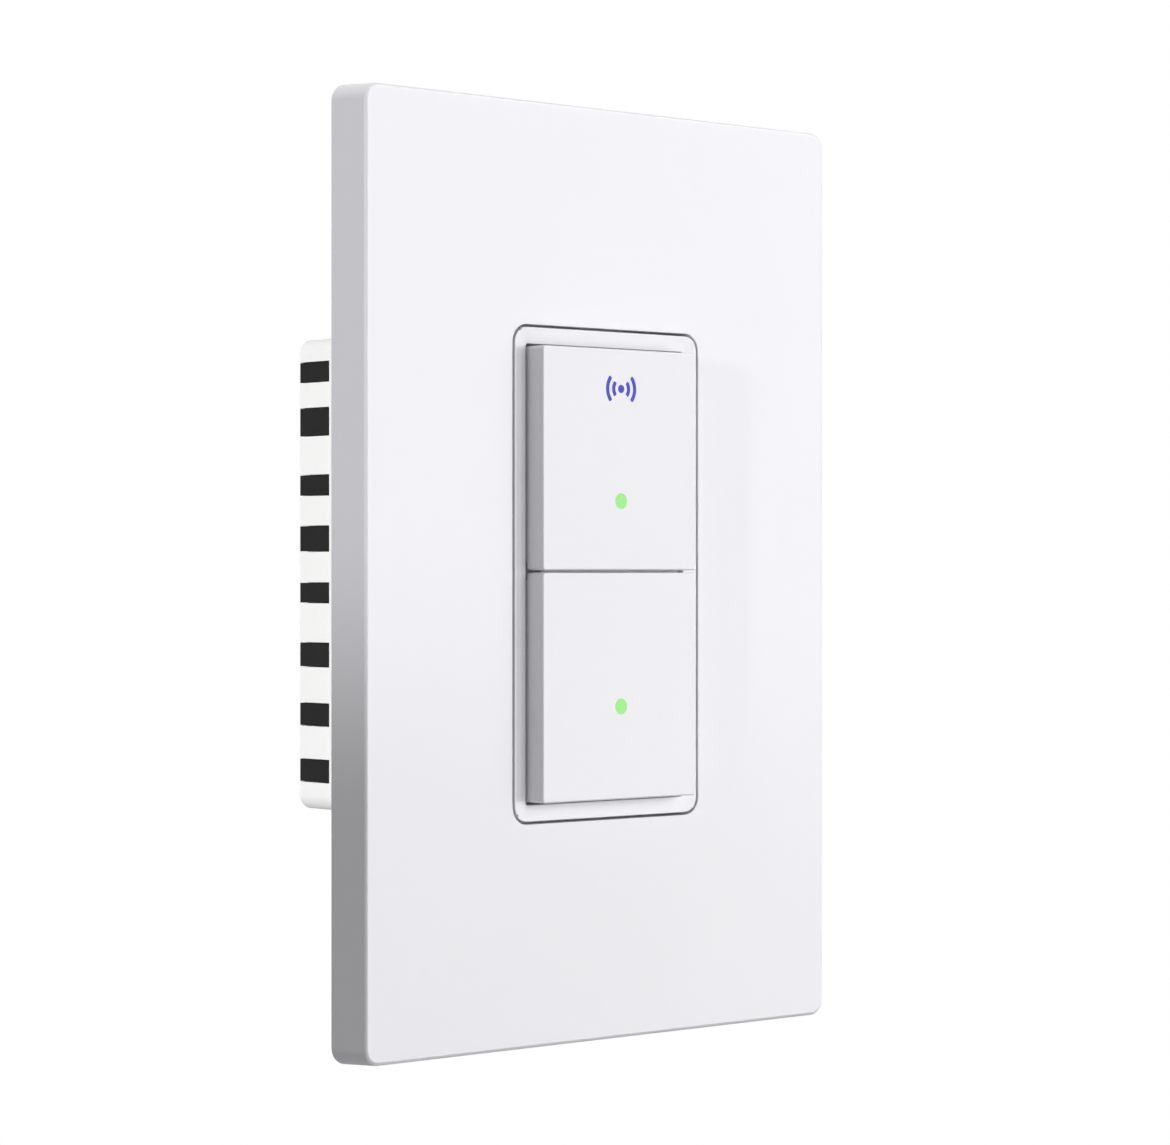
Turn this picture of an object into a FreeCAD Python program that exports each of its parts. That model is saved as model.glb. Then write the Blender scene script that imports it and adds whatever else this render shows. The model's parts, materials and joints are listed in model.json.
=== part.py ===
import FreeCAD, Part
import math
import os

V = FreeCAD.Vector

# Smart double light switch for a single wall box.
# X runs to the right, the front looks along -Y, Z is up.
# The origin is the middle of the wall surface, where the rear faces of the yoke and plate lie.

# Cover plate, given by its margins round the insert and beyond the yoke
plate_side = 25.0
plate_end = 10.7
plate_depth = 7.3
plate_corner_r = 2.2
plate_edge_r = 0.5
plate_side_flare = 0.1
plate_end_flare = 0.5
plate_skin = 1.6
plate_wall = 1.8
collar_wall = 1.4
collar_gap = 0.2
hook_w = 8.0
hook_reach = 1.0
hook_h = 1.3
hook_from_end = 25.5
hook_from_side = 17.5
pad_r = 1.0

# Front bezel, the insert in the opening of the plate
face_w = 33.0
face_h = 66.3
face_corner_r = 2.1
face_gap = 0.35
rim_w = 2.2
rim_land = 0.35
rim_slope = 0.33
bar_w = 1.6
press_room = 0.9
leg_w = 5.0
leg_t = 1.2
leg_from_end = 10.95
bezel_inner_r = 0.4
leg_toe = 0.6
leg_toe_h = 1.4
leg_hole_gap = 0.3

# Buttons
button_gap = 0.35
button_proud = 2.8
button_corner_r = 0.5
button_edge_r = 0.25
button_skin = 1.3
button_wall = 1.2
button_skirt = 5.9
side_over_bar = 3.3
split_z = 0.4
split_gap = 0.3
peg_r = 0.9
peg_len = 1.6
peg_clear = 0.07
peg_from_end = 2.2
peg_behind_plate = 1.9
catch_x = 8.0
catch_w = 3.0
catch_reach = 0.75
catch_t = 1.1
running_gap = 0.35
push_post_r = 1.6
push_gap = 0.3
rib_t = 0.9
rib_h = 2.0

# Lights in the buttons
window_r = 1.05
window_flange_r = 1.7
window_flange_t = 0.8
window_len = 4.6
window_clear = 0.03
upper_window_from_split = 9.55
lower_window_from_split = 18.35
symbol_from_end = 5.4
symbol_dot_r = 0.55
symbol_radii = (1.35, 2.45)
symbol_stroke = 0.5
symbol_half_deg = 42.0
symbol_depth = 0.8

# Mounting yoke and its screws
yoke_t = 1.2
yoke_side = 1.0
yoke_end = 2.2
yoke_corner_r = 2.0
yoke_lip_side = 0.3
yoke_lip_end = 0.95
yoke_open_r = 1.5
neck_w = 17.0
ear_w = 26.0
ear_h = 9.6
ear_corner_r = 3.0
ear_end = 4.4
box_screw_from_face = 8.5
box_screw_r = 1.75
box_screw_len = 25.0
box_screw_neck_r = 1.45
box_screw_tip = 0.5
box_slot_w = 4.2
box_slot_len = 7.0
box_slot_r = 2.05
plate_screw_from_box_screw = 6.75
plate_screw_r = 1.65
plate_screw_len = 9.0
thread_clear = 0.05
screw_head_r = 3.3
screw_head_h = 1.9
screw_head_sink = 0.6
screw_head_clear = 0.2
head_edge = 0.3
drive_w = 0.9
drive_depth = 0.8
drive_reach = 0.6
retainer_w = 9.0
retainer_t = 0.4
retainer_r = 1.0
yoke_screw_r = 1.25
yoke_screw_len = 6.0
yoke_screw_head_r = 2.2
yoke_screw_head_h = 1.0
yoke_screw_clear = 0.1
yoke_screw_to_face = 0.5
yoke_screw_from_end = 2.0
yoke_screw_wall = 1.3
tab_from_side = 6.75
tab_w = 9.0
tab_len = 9.5
tab_below_yoke = 0.1
tab_corner_r = 2.5
ground_head_r = 3.3
ground_head_h = 2.1
ground_screw_r = 1.7
ground_screw_tail = 1.0

# Frame behind the cover plate
frame_gap = 0.45
frame_front_gap = 1.7
frame_skin = 1.6
frame_edge_h = 1.9
frame_edge_t = 1.6
frame_open_gap = 0.5
frame_boss_r = 5.6
frame_hole_clear = 0.35
box_head_clear = 0.7
frame_pad_w = 6.0

# Front housing shell, a little taller than the insert
shell_step_side = 1.0
shell_step_end = 0.2
shell_over_face = 0.15
shell_depth = 25.4
shell_wall = 1.6
shell_corner_r = 3.0
shell_rim_r = 0.7

# Rear cover
rear_over_face = 5.75
rear_depth = 8.1
rear_wall = 1.5
rear_skin = 1.8
rear_corner_r = 2.0
rear_edge_r = 0.5
spigot_len = 3.0
spigot_gap = 0.1
slots_from_top = (4.7, 11.7, 20.6, 28.1, 35.7, 44.4, 52.8, 60.7)
slot_heights = (2.95, 4.05, 3.0, 3.7, 2.95, 3.5, 3.3, 3.3)
liner_gap = 0.15
liner_wall = 0.8
liner_corner_r = 0.9
lug_gap = 0.08
lug_recess = 0.12
lug_end_recess = 0.25

# Posts and screws that clamp the housing
post_from_side = 5.25
post_from_end = 5.2
post_r = 2.5
post_step_r = 3.3
post_clear = 0.2
housing_screw_r = 1.2
housing_screw_bite = 8.0
pilot_extra = 1.0
housing_head_r = 2.1
housing_head_h = 1.4

# Circuit boards
board_gap_side = 0.65
board_gap_end = 0.7
board_corner_r = 1.0
board_t = 1.4
board_lift = 2.0
power_board_y = 15.0
board_screw_from_side = 2.6
board_screw_r = 0.9
board_screw_clear = 0.15
board_screw_bite = 2.5
board_boss_r = 2.0
board_head_r = 1.7
board_head_h = 1.1

# Key switches under the buttons
key_w = 6.0
key_h = 3.5
key_from_split = 5.6
plunger_r = 1.7
plunger_clear = 0.08
plunger_len = 2.8
plunger_root = 0.5
plunger_edge = 0.3
key_edge = 0.3
key_corner_r = 0.5
key_bore = 1.5
lamp_w = 1.6
lamp_l = 3.0
lamp_h = 1.0
lamp_corner_r = 0.2

# Radio board and header
radio_w = 18.0
radio_l = 25.0
radio_t = 0.8
radio_corner_r = 0.6
radio_from_end = 6.0
can_margin = 1.0
can_w = 16.0
can_l = 17.0
can_h = 2.4
can_wall = 0.3
can_edge = 0.25
can_corner_r = 0.8
header_from_side = 6.0
header_z = -2.0
header_w = 2.5
header_pins = 8
header_pitch = 2.0
header_margin = 0.5
header_notch = 0.4

# Power parts
relay_w = 15.2
relay_rear_gap = 0.3
relay_above_disc = 2.1
relay_apart = 2.0
relay_below_film = 2.8
relay_corner_r = 0.6
core_w = 14.0
core_l = 13.0
core_rear_gap = 4.3
core_x = 0.5
core_above_block = 4.1
core_leg = 2.6
core_middle = 3.4
winding_gap = 0.1
winding_rise = 1.6
can_cap_r = 4.0
can_cap_rear_gap = 2.8
can_cap_from_side = 8.0
can_cap_above_block = 11.6
film_w = 13.0
film_l = 5.6
film_rear_gap = 4.3
film_from_end = 5.4
film_corner_r = 0.4
disc_r = 4.4
disc_t = 3.6
disc_edge = 1.2
disc_from_side = 7.4
disc_above_block = 15.1
lead_r = 0.35
lead_lift = 1.5
lead_from_middle = 2.4
fuse_r = 4.0
fuse_h = 7.5
fuse_above_block = 6.0
part_edge = 0.5

# Terminals
poles = 4
block_side = 0.3
block_post_gap = 0.2
block_h = 10.7
block_bottom_gap = 0.4
block_rear_gap = 0.25
window_frame_gap = 0.2
block_step = 0.8
block_lip = 1.0
block_rise = 1.4
wire_r = 1.6
wire_hole_r = 1.9
wire_y = 20.2
wire_bore_len = 9.0
clamp_wall = 0.9
clamp_t = 0.8
clamp_gap = 0.1
clamp_screw_r = 1.5
clamp_screw_up = 5.3
clamp_head_wall = 1.0
clamp_head_h = 1.6
clamp_head_gap = 0.15
clamp_head_sink = 0.6
clamp_screw_clear = 0.15

# Sizes and places worked out from the values above
plate_w = face_w + 2 * plate_side
box_screw_pitch = face_h + 2 * box_screw_from_face
plate_screw_pitch = box_screw_pitch + 2 * plate_screw_from_box_screw
yoke_len = plate_screw_pitch + 2 * ear_end
plate_h = yoke_len + 2 * plate_end
hook_z = plate_h / 2 - hook_from_end
hook_x = plate_w / 2 - hook_from_side
rear_w = face_w + 2 * rear_over_face
shell_w = rear_w + 2 * shell_step_side
shell_h = face_h + 2 * shell_over_face
rear_h = shell_h - 2 * shell_step_end
yoke_w = shell_w - 2 * yoke_side
yoke_h = shell_h + 2 * yoke_end
plate_front = -plate_depth
yoke_front = -yoke_t
button_front = plate_front - button_proud
skin_rear = button_front + button_skin
skirt_rear = button_front + button_skirt
bar_front = skin_rear + press_room
bar_end_front = button_front + side_over_bar + press_room
peg_y = plate_front + peg_behind_plate
window_w = face_w - 2 * rim_w
window_h = face_h - 2 * rim_w
button_w = window_w - 2 * button_gap
buttons_h = window_h - 2 * button_gap
peg_z = buttons_h / 2 - peg_from_end
leg_x = face_w / 2 - rim_w / 2
leg_z = window_h / 2 - leg_from_end
upper_window_z = split_z + upper_window_from_split
lower_window_z = split_z - lower_window_from_split
symbol_z = buttons_h / 2 - symbol_from_end
yoke_open_w = window_w - 2 * yoke_lip_side
yoke_open_h = window_h - 2 * yoke_lip_end
yoke_screw_x = face_w / 2 + yoke_screw_to_face + yoke_screw_head_r
yoke_screw_z = shell_h / 2 - yoke_screw_from_end
tab_x = tab_from_side - yoke_w / 2
tab_drop = yoke_h / 2 + tab_below_yoke
post_x = rear_w / 2 - post_from_side
post_z = rear_h / 2 - post_from_end
board_w = shell_w - 2 * shell_wall - 2 * board_gap_side
board_h = shell_h - 2 * shell_wall - 2 * board_gap_end
board_screw_x = board_w / 2 - board_screw_from_side
board_front = shell_wall + board_lift
board_rear = board_front + board_t
key_front = board_front - key_h
plunger_tip = key_front - plunger_len
power_rear = power_board_y + board_t
rear_face = shell_depth + rear_depth
rear_inner = rear_face - rear_skin
frame_front = plate_front + plate_skin + frame_front_gap
frame_rear = frame_front + frame_skin
block_w = 2 * (post_x - post_r - block_post_gap)
pole_pitch = (block_w - 2 * block_side) / poles
clamp_w = pole_pitch - 2 * clamp_wall
clamp_head_r = pole_pitch / 2 - clamp_head_wall
block_bottom_z = block_bottom_gap + shell_wall - shell_h / 2
block_top_z = block_bottom_z + block_h
clamp_screw_z = block_bottom_z + clamp_screw_up
radio_z = board_h / 2 - radio_from_end - radio_l / 2
header_x = header_from_side - board_w / 2
film_z = board_h / 2 - film_from_end
core_z = block_top_z + core_above_block + core_l / 2
can_cap_x = can_cap_from_side - board_w / 2
can_cap_z = block_top_z + can_cap_above_block
disc_x = board_w / 2 - disc_from_side
disc_z = block_top_z + disc_above_block
relay_x = (relay_w + relay_apart) / 2
relay_top = film_z - film_l / 2 - relay_below_film
relay_l = relay_top - disc_z - disc_r - relay_above_disc
relay_z = relay_top - relay_l / 2
relay_h = rear_inner - power_rear - relay_rear_gap
core_h = rear_inner - power_rear - core_rear_gap
can_cap_h = rear_inner - power_rear - can_cap_rear_gap
film_h = rear_inner - power_rear - film_rear_gap
fuse_z = block_top_z + fuse_above_block


def block(x0, x1, y0, y1, z0, z1):
    return Part.makeBox(x1 - x0, y1 - y0, z1 - z0, V(x0, y0, z0))


def rod_x(y, z, r, x0, x1):
    return Part.makeCylinder(r, x1 - x0, V(x0, y, z), V(1, 0, 0))


def rod_y(x, z, r, y0, y1):
    return Part.makeCylinder(r, y1 - y0, V(x, y0, z), V(0, 1, 0))


def rod_z(x, y, r, z0, z1):
    return Part.makeCylinder(r, z1 - z0, V(x, y, z0), V(0, 0, 1))


def outline(w, h, r, y, cx=0.0, cz=0.0):
    """Closed rounded rectangle in the plane at depth y."""
    arcs = []
    for turn, (sx, sz) in enumerate(((1, 1), (-1, 1), (-1, -1), (1, -1))):
        centre = V(cx + sx * (w / 2 - r), y, cz + sz * (h / 2 - r))
        points = []
        for step in range(3):
            angle = math.radians(90 * turn + 45 * step)
            points.append(centre + V(r * math.cos(angle), 0, r * math.sin(angle)))
        arcs.append(Part.Arc(*points).toShape())
    edges = []
    for here, after in zip(arcs, arcs[1:] + arcs[:1]):
        edges.append(here)
        edges.append(Part.makeLine(here.Vertexes[-1].Point, after.Vertexes[0].Point))
    return Part.Wire(edges)


def slab(w, h, r, y0, y1, cx=0.0, cz=0.0):
    """Rounded rectangle run from depth y0 to depth y1."""
    return Part.Face(outline(w, h, r, y0, cx, cz)).extrude(V(0, y1 - y0, 0))


def ring(w, h, r, wall, y0, y1):
    """Frame with an even wall."""
    return slab(w, h, r, y0, y1).cut(slab(w - 2 * wall, h - 2 * wall, r - wall, y0, y1))


def edges_at(shape, y):
    """Edges that lie in the plane at depth y."""
    return [e for e in shape.Edges if all(abs(v.Y - y) < 1e-6 for v in e.Vertexes)]


def corners(x, z):
    """The four mirrored places of one corner point."""
    return [(sx * x, sz * z) for sx in (-1, 1) for sz in (-1, 1)]


def screw_y(x, z, r, head_r, head_h, head_y, length):
    """Screw along +Y whose head starts at head_y, with a cross drive in its head."""
    head = rod_y(x, z, head_r, head_y, head_y + head_h)
    head = head.makeChamfer(head_edge, edges_at(head, head_y))
    half = head_r * drive_reach
    end = head_y + drive_depth
    head = head.cut(block(x - half, x + half, head_y, end, z - drive_w / 2, z + drive_w / 2))
    head = head.cut(block(x - drive_w / 2, x + drive_w / 2, head_y, end, z - half, z + half))
    return head.fuse(rod_y(x, z, r, head_y + head_h, head_y + head_h + length)).removeSplitter()


def turned_round(shape, y):
    """The same piece facing the other way, about the plane at depth y."""
    return shape.mirror(V(0, y, 0), V(0, 1, 0))


def cover_plate():
    flared_w = plate_w + 2 * plate_side_flare
    flared_h = plate_h + 2 * plate_end_flare
    front = outline(plate_w, plate_h, plate_corner_r, plate_front)
    rear = outline(flared_w, flared_h, plate_corner_r + plate_side_flare, 0)
    plate = Part.makeLoft([front, rear], True, True)
    plate = plate.makeFillet(plate_edge_r, edges_at(plate, plate_front))
    inner_w = plate_w - 2 * plate_wall
    inner_h = plate_h - 2 * plate_wall
    inner_y = plate_front + plate_skin
    plate = plate.cut(slab(inner_w, inner_h, plate_corner_r, inner_y, 0))
    open_w = face_w + 2 * face_gap
    open_h = face_h + 2 * face_gap
    open_r = face_corner_r + face_gap
    collar_end = frame_front - collar_gap
    outer_w = open_w + 2 * collar_wall
    outer_h = open_h + 2 * collar_wall
    collar = slab(outer_w, outer_h, open_r + collar_wall, inner_y, collar_end)
    plate = plate.fuse(collar)
    plate = plate.cut(slab(open_w, open_h, open_r, plate_front, collar_end))
    for hook in plate_hooks(inner_w / 2, inner_h / 2):
        plate = plate.fuse(hook)
    for x, z in corners(hook_x, hook_z):
        plate = plate.fuse(slab(frame_pad_w, frame_pad_w, pad_r, inner_y, frame_front, x, z))
    return plate.removeSplitter()


def plate_hooks(half_w, half_h):
    """Wedge hooks inside the plate's walls, which hold it behind the edge of the frame."""
    hook_y = frame_front + frame_edge_h
    hooks = []
    profile = [V(0, hook_y, 0), V(-hook_reach, hook_y, 0), V(0, hook_y + hook_h, 0), V(0, hook_y, 0)]
    wedge = Part.Face(Part.makePolygon(profile)).extrude(V(0, 0, hook_w))
    wedge.translate(V(0, 0, -hook_w / 2))
    for turn in (0, 180):
        for z in (-hook_z, hook_z):
            hook = wedge.copy()
            hook.translate(V(half_w, 0, z))
            hook.rotate(V(0, 0, 0), V(0, 1, 0), turn)
            hooks.append(hook)
    for turn in (90, 270):
        for along in (-hook_x, hook_x):
            hook = wedge.copy()
            hook.translate(V(half_h, 0, along))
            hook.rotate(V(0, 0, 0), V(0, 1, 0), turn)
            hooks.append(hook)
    return hooks


def sub_plate():
    w = plate_w - 2 * plate_wall - 2 * frame_gap
    h = plate_h - 2 * plate_wall - 2 * frame_gap
    frame = slab(w, h, plate_corner_r, frame_front, frame_rear)
    frame = frame.fuse(ring(w, h, plate_corner_r, frame_edge_t, frame_front, frame_front + frame_edge_h))
    for sz in (-1, 1):
        z = sz * plate_screw_pitch / 2
        frame = frame.fuse(rod_y(0, z, frame_boss_r, frame_rear, yoke_front))
    open_w = face_w + 2 * (face_gap + collar_wall + frame_open_gap)
    open_h = face_h + 2 * (face_gap + collar_wall + frame_open_gap)
    frame = frame.cut(slab(open_w, open_h, face_corner_r + collar_wall, frame_front, 0))
    for sz in (-1, 1):
        z = sz * plate_screw_pitch / 2
        frame = frame.cut(rod_y(0, z, plate_screw_r + frame_hole_clear, frame_front, 0))
        sink_r = screw_head_r + screw_head_clear
        frame = frame.cut(rod_y(0, z, sink_r, frame_front, frame_front + screw_head_sink))
        z_box = sz * box_screw_pitch / 2
        frame = frame.cut(rod_y(0, z_box, screw_head_r + box_head_clear, frame_front, 0))
    return frame.removeSplitter()


def sub_plate_screws():
    screws = []
    for sz in (-1, 1):
        z = sz * plate_screw_pitch / 2
        head_y = frame_front - screw_head_h + screw_head_sink
        screws.append(screw_y(0, z, plate_screw_r, screw_head_r, screw_head_h, head_y, plate_screw_len))
    return Part.makeCompound(screws)


def mounting_yoke():
    yoke = slab(yoke_w, yoke_h, yoke_corner_r, yoke_front, 0)
    for sz in (-1, 1):
        z = sz * (yoke_len - ear_h) / 2
        neck_half = neck_w / 2
        z0, z1 = sorted((0, z))
        yoke = yoke.fuse(block(-neck_half, neck_half, yoke_front, 0, z0, z1))
        yoke = yoke.fuse(slab(ear_w, ear_h, ear_corner_r, yoke_front, 0, 0, z))
    yoke = yoke.cut(slab(yoke_open_w, yoke_open_h, yoke_open_r, yoke_front, 0))
    for sz in (-1, 1):
        z_box = sz * box_screw_pitch / 2
        yoke = yoke.cut(slab(box_slot_len, box_slot_w, box_slot_r, yoke_front, 0, 0, z_box))
        yoke = yoke.cut(rod_y(0, sz * plate_screw_pitch / 2, plate_screw_r + thread_clear, yoke_front, 0))
    for x, z in corners(yoke_screw_x, yoke_screw_z):
        yoke = yoke.cut(rod_y(x, z, yoke_screw_r + yoke_screw_clear, yoke_front, 0))
    for x, z in corners(leg_x, leg_z):
        yoke = yoke.cut(leg_slot(x, z, yoke_front, 0))
    return yoke.fuse(ground_tab()).removeSplitter()


def ground_tab():
    """Ear folded back from the lower edge, with a threaded hole for the ground screw."""
    x0 = tab_x - tab_w / 2
    x1 = tab_x + tab_w / 2
    tab = block(x0, x1, yoke_front, tab_len, -tab_drop, yoke_t - tab_drop)
    rear = [e for e in tab.Edges if abs(e.Length - yoke_t) < 1e-6 and e.Vertexes[0].Y > tab_len - 1e-6]
    tab = tab.makeFillet(tab_corner_r, rear)
    hole_r = ground_screw_r + thread_clear
    return tab.cut(rod_z(tab_x, tab_len / 2, hole_r, -tab_drop, yoke_t - tab_drop))


def leg_slot(x, z, y0, y1):
    half_t = leg_t / 2 + leg_hole_gap
    half_w = leg_w / 2 + leg_hole_gap
    return block(x - half_t, x + half_t, y0, y1, z - half_w, z + half_w)


def box_screws():
    """Captive screws: the thread starts behind the retainer, and the neck inside the ear is thinner."""
    screws = []
    for sz in (-1, 1):
        z = sz * box_screw_pitch / 2
        head_y = yoke_front - screw_head_h
        screw = screw_y(0, z, box_screw_neck_r, screw_head_r, screw_head_h, head_y, yoke_t + retainer_t)
        thread = rod_y(0, z, box_screw_r, retainer_t, box_screw_len - yoke_t)
        thread = thread.makeChamfer(box_screw_tip, edges_at(thread, box_screw_len - yoke_t))
        screws.append(screw.fuse(thread))
    return Part.makeCompound(screws)


def screw_retainers():
    retainers = []
    for sz in (-1, 1):
        z = sz * box_screw_pitch / 2
        square = slab(retainer_w, retainer_w, retainer_r, 0, retainer_t, 0, z)
        retainers.append(square.cut(rod_y(0, z, box_screw_neck_r + thread_clear, 0, retainer_t)))
    return Part.makeCompound(retainers)


def ground_screw():
    z0 = -tab_drop
    y = tab_len / 2
    points = []
    for step in range(7):
        angle = math.radians(60 * step)
        points.append(V(tab_x + ground_head_r * math.cos(angle), y + ground_head_r * math.sin(angle), z0))
    head = Part.Face(Part.makePolygon(points)).extrude(V(0, 0, -ground_head_h))
    slot_y = (y - drive_w / 2, y + drive_w / 2)
    slot_z = (z0 - ground_head_h, z0 - ground_head_h + drive_depth)
    head = head.cut(block(tab_x - ground_head_r, tab_x + ground_head_r, *slot_y, *slot_z))
    shank = rod_z(tab_x, y, ground_screw_r, z0, z0 + yoke_t + ground_screw_tail)
    return head.fuse(shank).removeSplitter()


def yoke_screws():
    screws = []
    for x, z in corners(yoke_screw_x, yoke_screw_z):
        head_y = yoke_front - yoke_screw_head_h
        head = (yoke_screw_head_r, yoke_screw_head_h, head_y)
        screws.append(screw_y(x, z, yoke_screw_r, *head, yoke_screw_len))
    return Part.makeCompound(screws)


def front_bezel():
    bezel = slab(face_w, face_h, face_corner_r, plate_front, yoke_front)
    rim_top = outline(face_w - 2 * rim_land, face_h - 2 * rim_land, face_corner_r - rim_land, plate_front)
    rim_low = outline(window_w, window_h, bezel_inner_r, plate_front + rim_slope)
    bezel = bezel.cut(Part.makeLoft([rim_top, rim_low], True, True))
    bezel = bezel.cut(slab(window_w, window_h, bezel_inner_r, plate_front, yoke_front))
    half = window_w / 2
    middle = button_w / 2 - button_wall - running_gap
    z0 = split_z - bar_w / 2
    bezel = bezel.fuse(block(-half, half, bar_end_front, yoke_front, z0, z0 + bar_w))
    bezel = bezel.fuse(block(-middle, middle, bar_front, bar_end_front, z0, z0 + bar_w))
    for sz in (-1, 1):
        for sx in (-1, 1):
            x0 = sx * (button_w / 2)
            x1 = sx * (button_w / 2 + peg_len + peg_clear)
            bezel = bezel.cut(rod_x(peg_y, sz * peg_z, peg_r + peg_clear, min(x0, x1), max(x0, x1)))
    for x, z in corners(leg_x, leg_z):
        bezel = bezel.fuse(bezel_leg(x, z))
    return bezel.removeSplitter()


def bezel_leg(x, z):
    """Springy leg that hooks behind the front wall of the housing."""
    side = 1 if x > 0 else -1
    end = shell_wall + leg_toe_h
    x0 = x - leg_t / 2
    x1 = x + leg_t / 2
    leg = block(x0, x1, yoke_front, end, z - leg_w / 2, z + leg_w / 2)
    root = x + side * leg_t / 2
    tip = root + side * (leg_toe + leg_hole_gap)
    start = V(root, shell_wall, z)
    profile = Part.makePolygon([start, V(tip, shell_wall, z), V(root, end, z), start])
    toe = Part.Face(profile).extrude(V(0, 0, leg_w))
    toe.translate(V(0, 0, -leg_w / 2))
    return leg.fuse(toe)


def button(sz, window_z, key_z):
    """Hinged panel: sz is 1 for the upper one, which turns at its top, and -1 for the lower one."""
    inner = split_z + sz * split_gap / 2
    outer = sz * buttons_h / 2
    height = abs(outer - inner)
    mid = (outer + inner) / 2
    body = slab(button_w, height, button_corner_r, button_front, skirt_rear, 0, mid)
    body = body.makeFillet(button_edge_r, edges_at(body, button_front))
    wall_in = split_z + sz * (bar_w / 2 + running_gap + button_wall)
    wall_out = outer - sz * button_wall
    z0, z1 = sorted((wall_in, wall_out))
    half = button_w / 2 - button_wall
    body = body.cut(block(-half, half, skin_rear, skirt_rear, z0, z1))
    step = split_z + sz * (bar_w / 2 + running_gap)
    z0, z1 = sorted((split_z, step))
    body = body.cut(block(-half, half, skin_rear, skirt_rear, z0, z1))
    body = body.cut(block(-button_w, button_w, button_front + side_over_bar, skirt_rear, z0, z1))
    for sx in (-1, 1):
        x0, x1 = sorted((sx * (button_w / 2 - button_wall), sx * (button_w / 2 + peg_len)))
        body = body.fuse(rod_x(peg_y, sz * peg_z, peg_r, x0, x1))
        body = body.fuse(catch(sx * catch_x, sz))
        rib_x = sx * (push_post_r + rib_t)
        z0, z1 = sorted((wall_in, wall_out))
        body = body.fuse(block(rib_x - rib_t / 2, rib_x + rib_t / 2, skin_rear, skin_rear + rib_h, z0, z1))
    body = body.fuse(rod_y(0, key_z, push_post_r, skin_rear, plunger_tip - push_gap))
    body = body.cut(rod_y(0, window_z, window_r + window_clear, button_front, skirt_rear))
    flange_room = window_flange_r + window_clear
    return body.cut(rod_y(0, window_z, flange_room, skin_rear, skirt_rear)).removeSplitter()


def catch(x, sz):
    """Hook at the inner edge that keeps the button behind the bar of the bezel."""
    root = split_z + sz * (bar_w / 2 + running_gap)
    back = root + sz * button_wall
    toe = root - sz * catch_reach
    toe_front = yoke_front + running_gap
    z0, z1 = sorted((root, back))
    leg = block(x - catch_w / 2, x + catch_w / 2, skin_rear, toe_front + catch_t, z0, z1)
    z0, z1 = sorted((toe, root))
    return leg.fuse(block(x - catch_w / 2, x + catch_w / 2, toe_front, toe_front + catch_t, z0, z1))


def light_pipe(z):
    """Window seen as a dot, with a flange that seats behind the skin of the button."""
    pipe = rod_y(0, z, window_r, button_front, button_front + window_len)
    return pipe.fuse(rod_y(0, z, window_flange_r, skin_rear, skin_rear + window_flange_t)).removeSplitter()


def symbol_parts(grow, y1):
    """Dot between two pairs of side arcs, the light symbol of the upper button."""
    parts = [rod_y(0, symbol_z, symbol_dot_r + grow, button_front, y1)]
    for middle in (0, 180):
        for radius in symbol_radii:
            parts.append(arc_bar(radius, symbol_stroke / 2 + grow, middle, y1))
    return parts


def arc_bar(radius, half, middle, y1):
    """Curved bar with round ends, centred on the symbol."""
    def at(r, degrees):
        a = math.radians(degrees)
        return V(r * math.cos(a), button_front, symbol_z + r * math.sin(a))
    first = middle - symbol_half_deg
    last = middle + symbol_half_deg
    arcs = [
        Part.Arc(at(radius + half, first), at(radius + half, middle), at(radius + half, last)),
        Part.makeLine(at(radius + half, last), at(radius - half, last)),
        Part.Arc(at(radius - half, last), at(radius - half, middle), at(radius - half, first)),
        Part.makeLine(at(radius - half, first), at(radius + half, first)),
    ]
    wire = Part.Wire([a.toShape() if hasattr(a, "toShape") else a for a in arcs])
    return Part.Face(wire).extrude(V(0, y1 - button_front, 0))


def upper_button():
    body = button(1, upper_window_z, split_z + key_from_split)
    for hole in symbol_parts(window_clear, button_front + symbol_depth):
        body = body.cut(hole)
    return body


def lower_button():
    return button(-1, lower_window_z, split_z - key_from_split)


def symbol_light():
    return Part.makeCompound(symbol_parts(0, button_front + symbol_depth))


def front_shell():
    shell = slab(shell_w, shell_h, shell_corner_r, 0, shell_depth)
    shell = shell.makeFillet(shell_rim_r, edges_at(shell, shell_depth))
    inner = (shell_w - 2 * shell_wall, shell_h - 2 * shell_wall, shell_corner_r - shell_wall)
    shell = shell.cut(slab(*inner, shell_wall, shell_depth))
    shell = shell.cut(slab(yoke_open_w, yoke_open_h, yoke_open_r, 0, shell_wall))
    for x, z in corners(post_x, post_z):
        shell = shell.fuse(rod_y(x, z, post_step_r, 0, board_front))
        shell = shell.fuse(rod_y(x, z, post_r, 0, power_board_y))
        pilot_front = power_board_y - housing_screw_bite - pilot_extra
        shell = shell.cut(rod_y(x, z, housing_screw_r + thread_clear, pilot_front, power_board_y))
    for sx in (-1, 1):
        boss = rod_y(sx * board_screw_x, 0, board_boss_r, shell_wall, board_front)
        shell = shell.fuse(boss)
        pilot_r = board_screw_r + thread_clear
        shell = shell.cut(rod_y(sx * board_screw_x, 0, pilot_r, board_front - board_screw_bite, board_front))
    for x, z in corners(yoke_screw_x, yoke_screw_z):
        shell = shell.fuse(yoke_screw_boss(x, z, inner))
        shell = shell.cut(rod_y(x, z, yoke_screw_r + thread_clear, 0, yoke_screw_len))
    for x, z in corners(leg_x, leg_z):
        shell = shell.cut(leg_slot(x, z, 0, shell_wall))
    for x in pole_places():
        shell = shell.cut(rod_z(x, wire_y, wire_hole_r, -shell_h / 2, shell_wall - shell_h / 2))
    return shell.removeSplitter()


def yoke_screw_boss(x, z, inner):
    """Screw boss in a corner, held within the walls."""
    boss = rod_y(x, z, yoke_screw_r + yoke_screw_wall, 0, yoke_screw_len + yoke_screw_wall)
    return boss.common(slab(*inner, 0, shell_depth))


def pole_places():
    return [(i - (poles - 1) / 2) * pole_pitch for i in range(poles)]


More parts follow.
